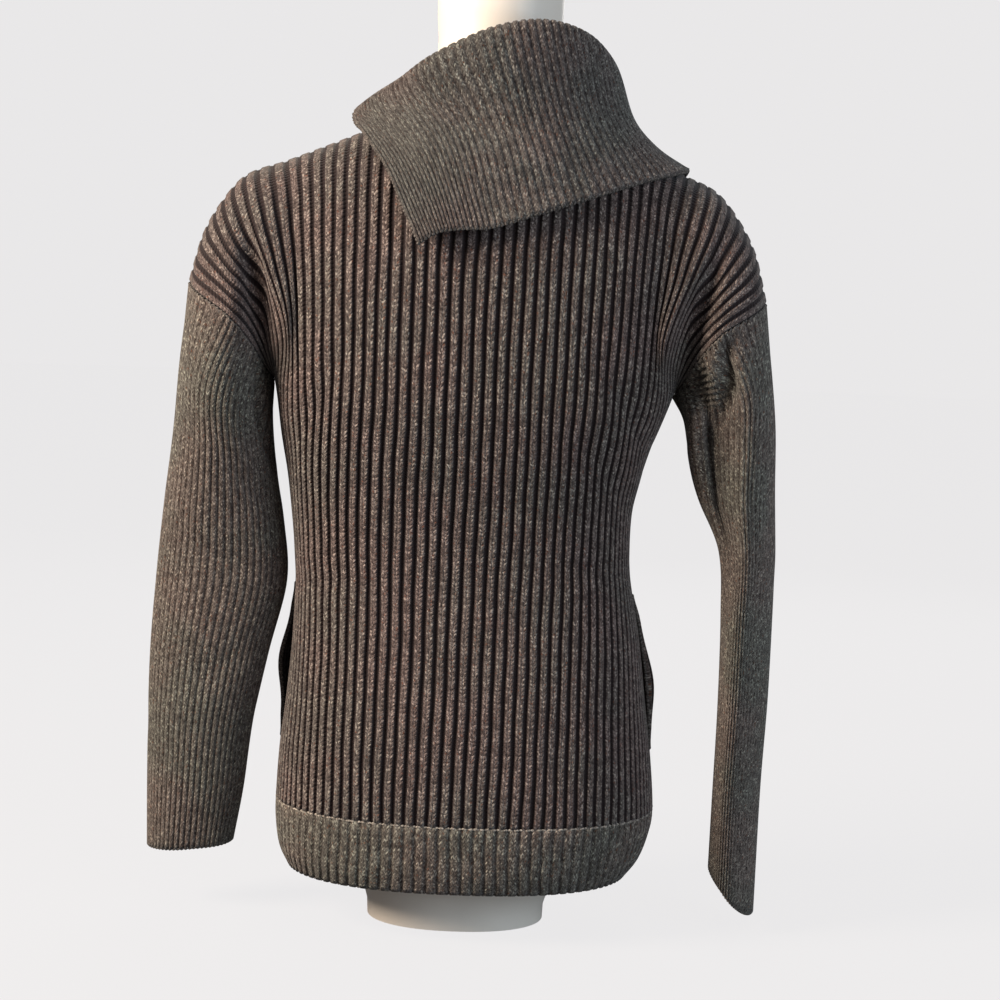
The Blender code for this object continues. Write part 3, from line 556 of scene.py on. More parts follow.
def pleats(right, up):
    """Depth of the short ridges stacked under an armpit, fading out round their middle."""
    aside, above = right - PLEAT_MIDDLE[0], up - PLEAT_MIDDLE[1]
    fade = np.exp(-((aside / PLEAT_SPREAD[0]) ** 4) - (above / PLEAT_SPREAD[1]) ** 4)
    bow = above + aside * PLEAT_RISE - aside**2 * PLEAT_BOW
    return PLEAT_DEPTH * fade * (1 + np.cos(bow / PLEAT_PITCH * 2 * math.pi)) / 2


def armhole(side, turns, body_rows):
    """Crest, way out and normal of the panels' armhole edge, straight from one body row to the next."""
    rows = body_rows[body_rows >= ARMPIT_RING]
    result = []
    edges = {}
    for face in (-1, 1):
        share = np.array([float(side)])
        crest = panel(face, share, rows)[:, 0]
        normal = panel_normals(face, share, rows)[:, 0]
        crest[:, 1] += face * SEAM_GAP / 2
        out = unit(np.cross(normal, np.gradient(crest, axis=0)))
        out *= np.sign((out * (crest - panel(face, share * 0.98, rows)[:, 0])).sum(axis=1))[:, None]
        edges[face] = np.concatenate([crest, out, normal], axis=1)
    for turn in np.asarray(turns) % 1.0:
        face = -1 if turn <= 0.5 else 1
        climb = turn * 2 if turn <= 0.5 else 2 - turn * 2
        row = ARMPIT_RING + climb * (SHOULDER_ROW - ARMPIT_RING)
        result.append([np.interp(row, rows, edges[face][:, i]) for i in range(9)])
    result = np.array(result)
    return result[:, :3], unit(result[:, 3:6]), unit(result[:, 6:])


def sleeve(side, table, seam, turns, rows):
    """Crest points of a sleeve. Turns go once round from the armpit by the back, row 0 is the armhole."""
    turns = np.asarray(turns, float)
    rings = [seam]
    angle = turns * 2 * math.pi
    back_fold = np.exp(-(((turns % 1.0) - FOLD_PLACE) / FOLD_WIDTH) ** 2)
    for height, x, y, half_width, half_depth, lean, tip, turn, fold in table:
        out = -half_width * np.cos(angle)
        deep = -half_depth * np.sin(angle) * (1 - fold * back_fold)
        twist = math.radians(turn)
        turned_out = out * math.cos(twist) - deep * math.sin(twist)
        turned_deep = out * math.sin(twist) + deep * math.cos(twist)
        z = height + lean * turned_out + tip * turned_deep
        rings.append(np.stack([side * (x + turned_out), y + turned_deep, z], axis=1))
    return spline(np.arange(len(rings)), np.array(rings), rows)


def sleeve_crests(side, table, turns, rows, body_rows, creases):
    """Crest points and outward normals of a sleeve. Its first row is the panels' edge, moved out."""
    crest, out, panel_normal = armhole(side, turns, body_rows)
    seam = crest + out * ARMHOLE_GAP
    step = 0.002
    ahead = sleeve(side, table, armhole(side, turns + step, body_rows)[0], turns + step, rows)
    behind = sleeve(side, table, armhole(side, turns - step, body_rows)[0], turns - step, rows)
    up = sleeve(side, table, seam, turns, np.minimum(rows + 0.01, len(table)))
    down = sleeve(side, table, seam, turns, np.maximum(rows - 0.01, 0.0))
    normals = unit(np.cross(ahead - behind, up - down)) * -side
    fold_back = np.clip(-(normals[0] * panel_normal).sum(axis=1), 0.0, 1.0)[:, None]
    points = sleeve(side, table, seam - normals[0] * fold_back * ARMPIT_SPREAD, turns, rows)
    lean_in = np.clip((normals[0] * out).sum(axis=1), 0.0, 1.0)[:, None]
    normals[0] = unit(normals[0] + (panel_normal - out) * lean_in)
    right, up = turns[None, :] * SLEEVE_GIRTH, -rows[:, None] * SLEEVE_ROW_LENGTH
    press = troughs(right, up, creases, SLEEVE_GIRTH)
    if side > 0:
        press += pleats(right, up)
    press *= smoothstep(0.0, SEAM_HOLD, rows)[:, None]
    return points - normals * press[..., None], normals


def neckline(turns):
    """Places on the panels' neck edge, by turn in degrees from the back's middle."""
    reach = NECKLINE_SHARE + NECKLINE_OVERRUN
    shares = np.linspace(-reach, reach, NECKLINE_STEPS)
    knots, points = [], []
    for face, depth in ((-1, BACK_NECK_DEPTH), (1, FRONT_NECK_DEPTH)):
        line = shoulder_line(face, shares)
        turn = np.degrees(np.arctan2((line[:, 0] - NECK_X) / NECK_HALF_WIDTH, -line[:, 1] / depth))
        knots += list(turn % 360.0)
        points += list(line)
    order = np.argsort(knots)
    knots, points = np.array(knots)[order], np.array(points)[order]
    found = [np.interp(np.asarray(turns) % 360.0, knots, points[:, i], period=360.0) for i in range(3)]
    return np.stack(found, axis=1) + np.array([0.0, 0.0, COLLAR_BASE_LIFT])


def collar_controls():
    """Control points of the strip at each station: neckline, inner leg, fold, outer leg, hollow and edge."""
    axis = np.array([NECK_X, NECK_Y, 0.0])
    controls = []
    last = len(COLLAR_STATIONS) - 1
    for i, (turn, fold, edge) in enumerate(COLLAR_STATIONS):
        base, fold, edge = neckline([turn])[0], np.array(fold), np.array(edge)
        away = (fold - axis) * np.array([1.0, 1.0, 0.0])
        away = away / np.linalg.norm(away)
        down = np.array([0.0, 0.0, -COLLAR_LEG_DROP])
        inner_leg = fold - away * COLLAR_LEG_SPREAD + down
        outer_leg = fold + away * COLLAR_LEG_SPREAD * COLLAR_OUTER_LEG_SHARE + down
        waist = base * 0.5 + inner_leg * 0.5
        hang = min(1.0, i / 3, (last - i) / 2)
        sag = away * COLLAR_HOLLOW * hang
        lean = np.array([0.0, math.copysign(COLLAR_BULGE_LEAN, edge[1]), COLLAR_BULGE_LEAN])
        bulge = lean * COLLAR_END_BULGE
        sag = sag - bulge * (1 - hang)
        hollow = outer_leg * (1 - COLLAR_HOLLOW_PLACE) + edge * COLLAR_HOLLOW_PLACE - sag
        flare = outer_leg * (1 - COLLAR_FLARE_PLACE) + edge * COLLAR_FLARE_PLACE - sag * COLLAR_FLARE_SAG
        controls.append([base, waist, inner_leg, fold, outer_leg, hollow, flare, edge])
    return np.array(controls)


def body_cloud():
    """Crest points and normals of both panels round the shoulders, for what lies on them."""
    shares = np.linspace(-1.0, 1.0, CLOUD_COLUMNS)
    rows = np.linspace(ARMPIT_RING, SHOULDER_ROW, CLOUD_ROWS)
    points = np.concatenate([panel(face, shares, rows).reshape(-1, 3) for face in (-1, 1)])
    normals = np.concatenate([panel_normals(face, shares, rows).reshape(-1, 3) for face in (-1, 1)])
    tree = KDTree(len(points))
    for i, point in enumerate(points):
        tree.insert(point, i)
    tree.balance()
    return points, normals, tree


def lay_on_body(points, cloud, gaps):
    """Moves each row's points that are nearer the body's crests than its gap straight out to that gap."""
    crest, normals, tree = cloud
    laid = points.copy()
    for row, gap in zip(laid, gaps):
        for i, point in enumerate(row):
            nearest = tree.find(point)[1]
            height = (point - crest[nearest]) @ normals[nearest]
            if height < gap:
                row[i] = point + normals[nearest] * (gap - height)
    return laid


def collar_surface(controls, stations, along):
    across = spline(np.arange(len(controls)), controls, stations)
    turns = spline(np.arange(len(controls)), np.array([row[0] for row in COLLAR_STATIONS]), stations)
    across[:, 0] = neckline(turns)
    return spline(np.arange(across.shape[1]), across.transpose(1, 0, 2), along)


def smoothed(grid, rounds):
    """A grid of points relaxed between its rims, which stay where they are."""
    grid = grid.copy()
    for _ in range(rounds):
        middle = grid[1:-1, 1:-1]
        round_it = (grid[:-2, 1:-1] + grid[2:, 1:-1] + grid[1:-1, :-2] + grid[1:-1, 2:]) / 4
        grid[1:-1, 1:-1] = middle * 0.5 + round_it * 0.5
    return grid


def form_ring(height, middle_x, middle_y, half_width, half_depth, power):
    angles = np.arange(FORM_SIDES) / FORM_SIDES * 2 * math.pi
    x = np.sign(np.cos(angles)) * np.abs(np.cos(angles)) ** (2 / power) * half_width
    y = np.sign(np.sin(angles)) * np.abs(np.sin(angles)) ** (2 / power) * half_depth
    return np.stack([middle_x + x, middle_y + y, np.full_like(x, height)], axis=1)


def ridge_ring(height, half_depth):
    """A ring whose two side points touch the shoulder line from below, but for a small gap."""
    shares = np.linspace(NECKLINE_SHARE + 0.01, SHOULDER_SHARE, 60)
    ends = []
    for side in (-1.0, 1.0):
        line = shoulder_line(-1, shares * side)
        slopes = np.arctan2(-np.gradient(line[:, 2]), np.abs(np.gradient(line[:, 0])))
        lowered = line[:, 2] - (BODY_WALL + FORM_RIDGE_GAP) / np.cos(slopes)
        ends.append(np.interp(height, lowered[::-1], line[::-1, 0]))
    middle, half_width = sum(ends) / 2, (ends[1] - ends[0]) / 2
    return form_ring(height, middle, 0.0, half_width, half_depth, FORM_RIDGE_POWER)


def rib_columns(count, places, low, high):
    """Places of the fine mesh's columns in ribs from the first groove, and the same from low to high."""
    ribs = np.append(np.arange(count)[:, None] + np.array(places), float(count))
    return ribs, low + (high - low) * ribs / count


def wandering(ribs, heights, span):
    """Small sideways drift of hand-knit ribs, none at the cloth's edges."""
    drift = np.zeros((len(heights), len(ribs)))
    for share, along, across, start in DRIFT_WAVES:
        drift += share * np.sin(heights[:, None] * along + ribs[None, :] * across + start)
    held = smoothstep(0.0, DRIFT_FREE_RIBS, ribs) * smoothstep(0.0, DRIFT_FREE_RIBS, span - ribs)
    return drift * held[None, :]


def lengths_along(grid):
    """Mean distance of each row from the first, for the height of the knit's stitches."""
    steps = np.linalg.norm(np.diff(grid, axis=0), axis=2).mean(axis=1)
    return np.concatenate([[0.0], np.cumsum(steps)])


def grid_quads(rows, columns, start, wrap, flip):
    r, c = np.meshgrid(np.arange(rows - 1), np.arange(columns if wrap else columns - 1), indexing="ij")
    a = start + r * columns + c
    b = start + r * columns + (c + 1) % columns
    quads = np.stack([a, b, b + columns, a + columns], axis=-1).reshape(-1, 4)
    return (quads[:, ::-1] if flip else quads).tolist()


def join_edges(first, second, first_at, second_at, flip):
    """Triangles between two edges of different point counts, matched by the middles of their steps."""
    faces = []
    first_middles = [(a + b) / 2 for a, b in zip(first_at, first_at[1:])] + [math.inf]
    second_middles = [(a + b) / 2 for a, b in zip(second_at, second_at[1:])] + [math.inf]
    i = j = 0
    while i < len(first) - 1 or j < len(second) - 1:
        if first_middles[i] <= second_middles[j]:
            face = (first[i], first[i + 1], second[j])
            i += 1
        else:
            face = (first[i], second[j + 1], second[j])
            j += 1
        faces.append(face[::-1] if flip else face)
    return faces


def knit_uv(mesh, across, along, ribs):
    """Writes the knit's UV map: ribs across, metres along, unbroken where a tube closes."""
    corners = np.empty(len(mesh.loops), np.int32)
    mesh.loops.foreach_get("vertex_index", corners)
    starts = np.empty(len(mesh.polygons), np.int32)
    mesh.polygons.foreach_get("loop_start", starts)
    totals = np.empty(len(mesh.polygons), np.int32)
    mesh.polygons.foreach_get("loop_total", totals)
    u = across[corners]
    wide = np.maximum.reduceat(u, starts) - np.minimum.reduceat(u, starts) > ribs / 2
    u = np.where(np.repeat(wide, totals) & (u < ribs / 2), u + ribs, u)
    layer = mesh.uv_layers.new(name="knit")
    layer.uv.foreach_set("vector", np.stack([u, along[corners]], axis=1).astype(np.float32).ravel())


def point_attribute(mesh, name, kind, values):
    attribute = mesh.attributes.new(name, kind, "POINT")
    key = "vector" if kind == "FLOAT_VECTOR" else "value"
    attribute.data.foreach_set(key, np.asarray(values, np.float32).ravel())


def cloth(name, crests, outward, inner, ribs, inner_ribs, wrap, flip, row_relief=None):
    """A closed cloth wall before its ribs are raised, from its crest points and its plain inside."""
    rows, columns = crests.shape[:2]
    inner_columns = inner.shape[1]
    offset = rows * columns
    points = np.concatenate([crests.reshape(-1, 3), inner.reshape(-1, 3)])
    faces = grid_quads(rows, columns, 0, wrap, flip)
    faces += grid_quads(rows, inner_columns, offset, wrap, not flip)
    count = float(math.ceil(ribs[-1]))
    for row, turned in ((0, flip), (rows - 1, not flip)):
        outer_edge = [row * columns + c for c in range(columns)]
        inner_edge = [offset + row * inner_columns + c for c in range(inner_columns)]
        places = (list(ribs), list(inner_ribs))
        if wrap:
            outer_edge.append(outer_edge[0])
            inner_edge.append(inner_edge[0])
            places = (places[0] + [count], places[1] + [count])
        faces += join_edges(outer_edge, inner_edge, *places, not turned)
    if not wrap:
        for column, inner_column, turned in ((0, 0, flip), (columns - 1, inner_columns - 1, not flip)):
            for r in range(rows - 1):
                a = r * columns + column
                b = offset + r * inner_columns + inner_column
                quad = (a, a + columns, b + inner_columns, b)
                faces.append(quad if not turned else quad[::-1])
    mesh = bpy.data.meshes.new(name)
    mesh.from_pydata(points.tolist(), [], faces)
    along = lengths_along(crests)
    across = np.concatenate([np.tile(ribs, rows), np.tile(inner_ribs, rows)])
    heights = np.concatenate([np.repeat(along, columns), np.repeat(along, inner_columns)])
    knit_uv(mesh, across, heights, count)
    row_relief = np.ones(rows) if row_relief is None else row_relief
    relief = np.concatenate([np.repeat(row_relief, columns), np.zeros(len(points) - offset)])
    directions = np.concatenate([outward.reshape(-1, 3), np.zeros((len(points) - offset, 3))])
    point_attribute(mesh, "rib_place", "FLOAT", across)
    point_attribute(mesh, "relief", "FLOAT", relief)
    point_attribute(mesh, "outward", "FLOAT_VECTOR", directions)
    mesh.shade_smooth()
    return add_object(name, mesh)


def add_object(name, mesh):
    made = bpy.data.objects.new(name, mesh)
    bpy.context.scene.collection.objects.link(made)
    return made


def node(tree, kind, inputs=None, **settings):
    """A node with its settings, its inputs linked where a socket is given and set where a value is."""
    made = tree.nodes.new(kind)
    for name, value in settings.items():
        setattr(made, name, value)
    for key, value in (inputs or {}).items():
        if isinstance(value, bpy.types.NodeSocket):
            tree.links.new(value, made.inputs[key])
        else:
            made.inputs[key].default_value = value
    return made


def calc(tree, operation, *values):
    """The result of a shader or geometry Math node."""
    return node(tree, "ShaderNodeMath", dict(enumerate(values)), operation=operation).outputs[0]


def ranged(tree, value, low, high, new_low=0.0, new_high=1.0):
    """A value eased from one range to another."""
    inputs = {"Value": value, 1: low, 2: high, 3: new_low, 4: new_high}
    return node(tree, "ShaderNodeMapRange", inputs, interpolation_type="SMOOTHSTEP").outputs[0]


def geometry_tree(name, sizes):
    """An empty Geometry Nodes tree with named size inputs and a material input."""
    tree = bpy.data.node_groups.new(name, "GeometryNodeTree")
    tree.interface.new_socket("Geometry", in_out="INPUT", socket_type="NodeSocketGeometry")
    for size in sizes:
        tree.interface.new_socket(size, in_out="INPUT", socket_type="NodeSocketFloat")
    tree.interface.new_socket("Finish", in_out="INPUT", socket_type="NodeSocketMaterial")
    tree.interface.new_socket("Geometry", in_out="OUTPUT", socket_type="NodeSocketGeometry")
    return tree, tree.nodes.new("NodeGroupInput")


def close_tree(tree, geometry, finish):
    real = node(tree, "GeometryNodeRealizeInstances", {"Geometry": geometry})
    painted = node(tree, "GeometryNodeSetMaterial", {"Geometry": real.outputs[0], "Material": finish})
    tree.links.new(painted.outputs[0], tree.nodes.new("NodeGroupOutput").inputs[0])
    return tree


def named(tree, attribute, kind):
    return node(tree, "GeometryNodeInputNamedAttribute", {"Name": attribute}, data_type=kind).outputs[0]


def rib_tree():
    """Sinks the grooves between ribs below the crests, along each point's own outward direction."""
    tree, given = geometry_tree("Raised ribs", ("Groove Depth", "Crest Share", "Groove Slope"))
    place = named(tree, "rib_place", "FLOAT")
    from_middle = calc(tree, "ABSOLUTE", calc(tree, "SUBTRACT", calc(tree, "FRACT", place), 0.5))
    crest_edge = calc(tree, "MULTIPLY", given.outputs["Crest Share"], 0.5)
    groove_edge = calc(tree, "ADD", crest_edge, given.outputs["Groove Slope"])
    groove = ranged(tree, from_middle, crest_edge, groove_edge)
    depth = calc(tree, "MULTIPLY", groove, given.outputs["Groove Depth"])
    depth = calc(tree, "MULTIPLY", depth, named(tree, "relief", "FLOAT"))
    sink = node(tree, "ShaderNodeVectorMath", {0: named(tree, "outward", "FLOAT_VECTOR"), "Scale":
                calc(tree, "MULTIPLY", depth, -1.0)}, operation="SCALE").outputs[0]
    moved = node(tree, "GeometryNodeSetPosition", {"Geometry": given.outputs["Geometry"], "Offset": sink})
    return close_tree(tree, moved.outputs[0], given.outputs["Finish"])


def stitch_tree():
    """Lays one rounded stitch after another along a line, each turned to the line and to the cloth."""
    tree, given = geometry_tree("Linked stitches", ("Spacing", "Length", "Width", "Height", "Slant"))
    line = node(tree, "GeometryNodeMeshToCurve", {"Mesh": given.outputs["Geometry"]}).outputs[0]
    spaced = node(tree, "GeometryNodeResampleCurve", {"Curve": line, "Length": given.outputs["Spacing"]},
                  mode="LENGTH").outputs[0]
    ball = node(tree, "GeometryNodeMeshUVSphere", {"Segments": 6, "Rings": 5, "Radius": 0.5}).outputs[0]
    stitch = node(tree, "GeometryNodeSetShadeSmooth", {"Geometry": ball}).outputs[0]
    size = node(tree, "ShaderNodeCombineXYZ", {0: given.outputs["Length"], 1: given.outputs["Width"],
                2: given.outputs["Height"]}).outputs[0]
    tangent = node(tree, "GeometryNodeInputTangent").outputs[0]
    along = node(tree, "FunctionNodeAlignRotationToVector", {"Vector": tangent}, axis="X").outputs[0]
    facing = node(tree, "FunctionNodeAlignRotationToVector", {"Rotation": along,
                  "Vector": named(tree, "outward", "FLOAT_VECTOR")}, axis="Z", pivot_axis="X").outputs[0]
    lean = node(tree, "FunctionNodeAxisAngleToRotation", {"Axis": (0.0, 0.0, 1.0), "Angle":
                given.outputs["Slant"]}).outputs[0]
    turned = node(tree, "FunctionNodeRotateRotation", {"Rotation": facing, "Rotate By": lean},
                  rotation_space="LOCAL").outputs[0]
    laid = node(tree, "GeometryNodeInstanceOnPoints", {"Points": spaced, "Instance": stitch,
                "Rotation": turned, "Scale": size}).outputs[0]
    return close_tree(tree, laid, given.outputs["Finish"])


def grown(made, tree, values):
    """Runs a tree on an object and leaves its plain result as the object's mesh."""
    modifier = made.modifiers.new(tree.name, "NODES")
    modifier.node_group = tree
    for item in tree.interface.items_tree:
        if item.item_type == "SOCKET" and item.in_out == "INPUT" and item.name in values:
            modifier[item.identifier] = values[item.name]
    depsgraph = bpy.context.evaluated_depsgraph_get()
    mesh = bpy.data.meshes.new_from_object(made.evaluated_get(depsgraph), depsgraph=depsgraph)
    made.modifiers.remove(modifier)
    made.data = mesh
    mesh.name = made.name
    return made


def shared_tree(name, make):
    return bpy.data.node_groups.get(name) or make()


def mixed(tree, share, first, second, way="MIX"):
    """Two colours mixed by a share. Each is a socket or three numbers."""
    inputs = {0: share}
    for key, colour in ((6, first), (7, second)):
        inputs[key] = colour if isinstance(colour, bpy.types.NodeSocket) else (*colour, 1.0)
    return node(tree, "ShaderNodeMix", inputs, data_type="RGBA", blend_type=way).outputs[2]


def knit_finish(name, stitch_height, arm_slope, crest_share, groove_painted_shade, stitch_contrast, wales, yarn_cast_and_painted_shade):
    """Marled wool: V stitches in each rib, flecks that run with the yarn, and painted shade darkening the
    grooves between ribs.
    """
    colours = bpy.context.scene.sweater_colours
    finish = bpy.data.materials.new(name)
    finish.use_nodes = True
    tree = finish.node_tree
    shader = tree.nodes["Principled BSDF"]
    uv = node(tree, "ShaderNodeUVMap", uv_map="knit").outputs[0]
    split = node(tree, "ShaderNodeSeparateXYZ", {0: uv})
    across, along = split.outputs[0], split.outputs[1]
    rib_offset = calc(tree, "SUBTRACT", calc(tree, "FRACT", across), 0.5)
    from_middle = calc(tree, "MULTIPLY", calc(tree, "ABSOLUTE", rib_offset), 2.0)
    wale = calc(tree, "MULTIPLY", across, wales)
    rib = calc(tree, "FLOOR", wale)
    offset = calc(tree, "SUBTRACT", calc(tree, "FRACT", wale), 0.5)
    arm = calc(tree, "MULTIPLY", calc(tree, "ABSOLUTE", offset), 2.0)
    side = calc(tree, "SIGN", offset)
    course = calc(tree, "SUBTRACT", calc(tree, "DIVIDE", along, stitch_height),
                  calc(tree, "MULTIPLY", arm, arm_slope))

    # Flecks: fine shades along the yarn, and one shade for each stitch's arm
    aside = calc(tree, "ADD", calc(tree, "MULTIPLY", arm, STRANDS_ACROSS / wales),
                 calc(tree, "MULTIPLY", side, ARM_SHIFT))
    strand = node(tree, "ShaderNodeCombineXYZ", {0: aside, 1: calc(tree, "MULTIPLY", course, STRANDS_ALONG),
                  2: calc(tree, "MULTIPLY", rib, RIB_SHIFT)}).outputs[0]
    fleck = node(tree, "ShaderNodeTexNoise", {"Vector": strand, "Scale": 1.0, "Detail": 2.0,
                 "Roughness": 0.7}).outputs[0]
    arm_of_rib = calc(tree, "ADD", calc(tree, "MULTIPLY", rib, 2.0), side)
    stitch = node(tree, "ShaderNodeCombineXYZ", {0: arm_of_rib, 1: calc(tree, "FLOOR", course)}).outputs[0]
    each = node(tree, "ShaderNodeTexWhiteNoise", {"Vector": stitch}, noise_dimensions="2D").outputs[0]
    own_shade = calc(tree, "MULTIPLY", calc(tree, "SUBTRACT", each, 0.5), stitch_contrast)
    shade = calc(tree, "ADD", fleck, own_shade)
    ramp = node(tree, "ShaderNodeValToRGB", {0: shade})
    stops = zip(MARL_STOPS, (colours.marl_dark, colours.marl_mid, colours.marl_light, colours.marl_cream))
    elements = ramp.color_ramp.elements
    while len(elements) < len(MARL_STOPS):
        elements.new(0.5)
    for element, (place, colour) in zip(elements, stops):
        element.position = place
        element.color = (*colour, 1.0)

    # Bright and rusty specks the size of a fibre's nub
    cell = node(tree, "ShaderNodeCombineXYZ", {
        0: calc(tree, "FLOOR", calc(tree, "MULTIPLY", across, NUBS_ACROSS)),
        1: calc(tree, "FLOOR", calc(tree, "MULTIPLY", course, NUBS_ALONG))}).outputs[0]
    nub = node(tree, "ShaderNodeTexWhiteNoise", {"Vector": cell}, noise_dimensions="2D").outputs["Value"]
    bright = mixed(tree, ranged(tree, nub, *CREAM_NUBS), ramp.outputs[0], colours.marl_cream)
    rust = mixed(tree, ranged(tree, nub, *RUST_NUBS), bright, colours.rust)

    # Broad patches where the yarn is warmer or greener
    place = node(tree, "ShaderNodeTexCoord").outputs["Object"]
    patch = node(tree, "ShaderNodeTexNoise", {"Vector": place, "Scale": PATCH_SCALE,
                 "Detail": 2.0}).outputs[0]
    tint = mixed(tree, ranged(tree, patch, *PATCH_RANGE), colours.patch_warm, colours.patch_green)
    tinted = mixed(tree, 1.0, rust, tint, "MULTIPLY")
    # The yarn's cast: a tint for the body, and painted shade for the collar, a darker and cooler copy of the
    # fine yarn
    cast_and_painted_shade = mixed(tree, 1.0, tinted, yarn_cast_and_painted_shade, "MULTIPLY")
    # Painted shade: each rib's grooves are darkened towards the painted groove shade colour
    groove = ranged(tree, from_middle, crest_share, crest_share + GROOVE_SHADE_WIDTH, 0.0, groove_painted_shade)
    tree.links.new(mixed(tree, groove, cast_and_painted_shade, colours.groove), shader.inputs["Base Color"])

    # Yarn relief: each arm is round, with a dip between its neighbours and down the rib's middle
    wave = calc(tree, "ABSOLUTE", calc(tree, "SINE", calc(tree, "MULTIPLY", course, math.pi)))
    round_yarn = calc(tree, "POWER", wave, YARN_ROUNDNESS)
    body = calc(tree, "MULTIPLY", round_yarn, ranged(tree, arm, *RIB_MIDDLE_DIP))
    height = calc(tree, "ADD", body, calc(tree, "MULTIPLY", fleck, FIBRE_RELIEF))
    bump = node(tree, "ShaderNodeBump", {"Height": height, "Strength": 0.8, "Distance": YARN_BUMP}).outputs[0]
    tree.links.new(bump, shader.inputs["Normal"])
    shader.inputs["Roughness"].default_value = WOOL_ROUGHNESS
    shader.inputs["Sheen Weight"].default_value = 0.12
    shader.inputs["Sheen Roughness"].default_value = 0.5
    shader.inputs["Specular IOR Level"].default_value = 0.15
    return finish


def wool_finish(name, colour):
    """Plain marled yarn for stitches and edges, flecked along Object coordinates."""
    finish = bpy.data.materials.new(name)
    finish.use_nodes = True
    tree = finish.node_tree
    shader = tree.nodes["Principled BSDF"]
    place = node(tree, "ShaderNodeTexCoord").outputs["Object"]
    fleck = node(tree, "ShaderNodeTexNoise", {"Vector": place, "Scale": YARN_FLECK_SCALE,
                 "Detail": 2.0}).outputs[0]
    dark = tuple(c * YARN_DARK_SHARE for c in colour)
    light = tuple(min(1.0, c * YARN_LIGHT_SHARE) for c in colour)
    marl = mixed(tree, ranged(tree, fleck, *YARN_FLECK_RANGE), dark, light)
    tree.links.new(marl, shader.inputs["Base Color"])
    bump = node(tree, "ShaderNodeBump", {"Height": fleck, "Strength": 0.5, "Distance": 0.0004}).outputs[0]
    tree.links.new(bump, shader.inputs["Normal"])
    shader.inputs["Roughness"].default_value = WOOL_ROUGHNESS
    return finish


def shell_finish():
    """The form's glossy cream shell, with faint unevenness in its lacquer."""
    finish = bpy.data.materials.new("form_shell_lacquer")
    finish.use_nodes = True
    tree = finish.node_tree
    shader = tree.nodes["Principled BSDF"]
    place = node(tree, "ShaderNodeTexCoord").outputs["Object"]
    uneven = node(tree, "ShaderNodeTexNoise", {"Vector": place, "Scale": SHELL_PATCH_SCALE,
                  "Detail": 3.0}).outputs[0]
    colour = bpy.context.scene.sweater_colours.shell
    duller = tuple(c * SHELL_DULL_SHARE for c in colour)
    lacquer = mixed(tree, ranged(tree, uneven, *SHELL_PATCH_RANGE), colour, duller)
    tree.links.new(lacquer, shader.inputs["Base Color"])
    gloss = ranged(tree, uneven, *SHELL_PATCH_RANGE, *SHELL_ROUGHNESS)
    tree.links.new(gloss, shader.inputs["Roughness"])
    bump = node(tree, "ShaderNodeBump", {"Height": uneven, "Strength": 0.2, "Distance": 0.0006}).outputs[0]
    tree.links.new(bump, shader.inputs["Normal"])
    shader.inputs["Coat Weight"].default_value = SHELL_COAT
    return finish


def finish_named(name, make, *values):
    return bpy.data.materials.get(name) or make(name, *values)


def knit_named(name, yarn, yarn_cast_and_painted_shade):
    return finish_named(name, knit_finish, *yarn, tuple(yarn_cast_and_painted_shade))


def body_knit():
    return knit_named("body_fisherman_rib", BODY_YARN, bpy.context.scene.sweater_colours.body_cast)


def fine_knit():
    return knit_named("fine_marled_rib", FINE_YARN, bpy.context.scene.sweater_colours.fine_cast)


# Painted shade: the collar's knit is the fine yarn made darker and cooler
def collar_knit():
    return knit_named("collar_marled_rib", FINE_YARN, bpy.context.scene.sweater_colours.collar_painted_shade)


def band_knit():
    return knit_named("hem_marled_rib", BAND_YARN, bpy.context.scene.sweater_colours.fine_cast)


class KnitSizes(PropertyGroup):
    """Sizes of the knit that a user would change."""

    body_ribs: IntProperty(name="Body ribs", description="Ribs across the back, and across the front",
                           default=56)
    sleeve_ribs: IntProperty(name="Sleeve ribs", description="Ribs round each sleeve", default=52)
    collar_ribs: IntProperty(name="Collar ribs", description="Ribs along the collar", default=84)
    groove_depth: FloatProperty(name="Body groove depth", description="Depth of the body's grooves",
                                default=0.0025, unit="LENGTH")
    fine_groove_depth: FloatProperty(name="Fine groove depth", description="Depth in sleeves and collar",
                                     default=0.0012, unit="LENGTH")
    rib_drift: FloatProperty(name="Rib drift", description="How far a rib wanders sideways",
                             default=0.0007, unit="LENGTH")


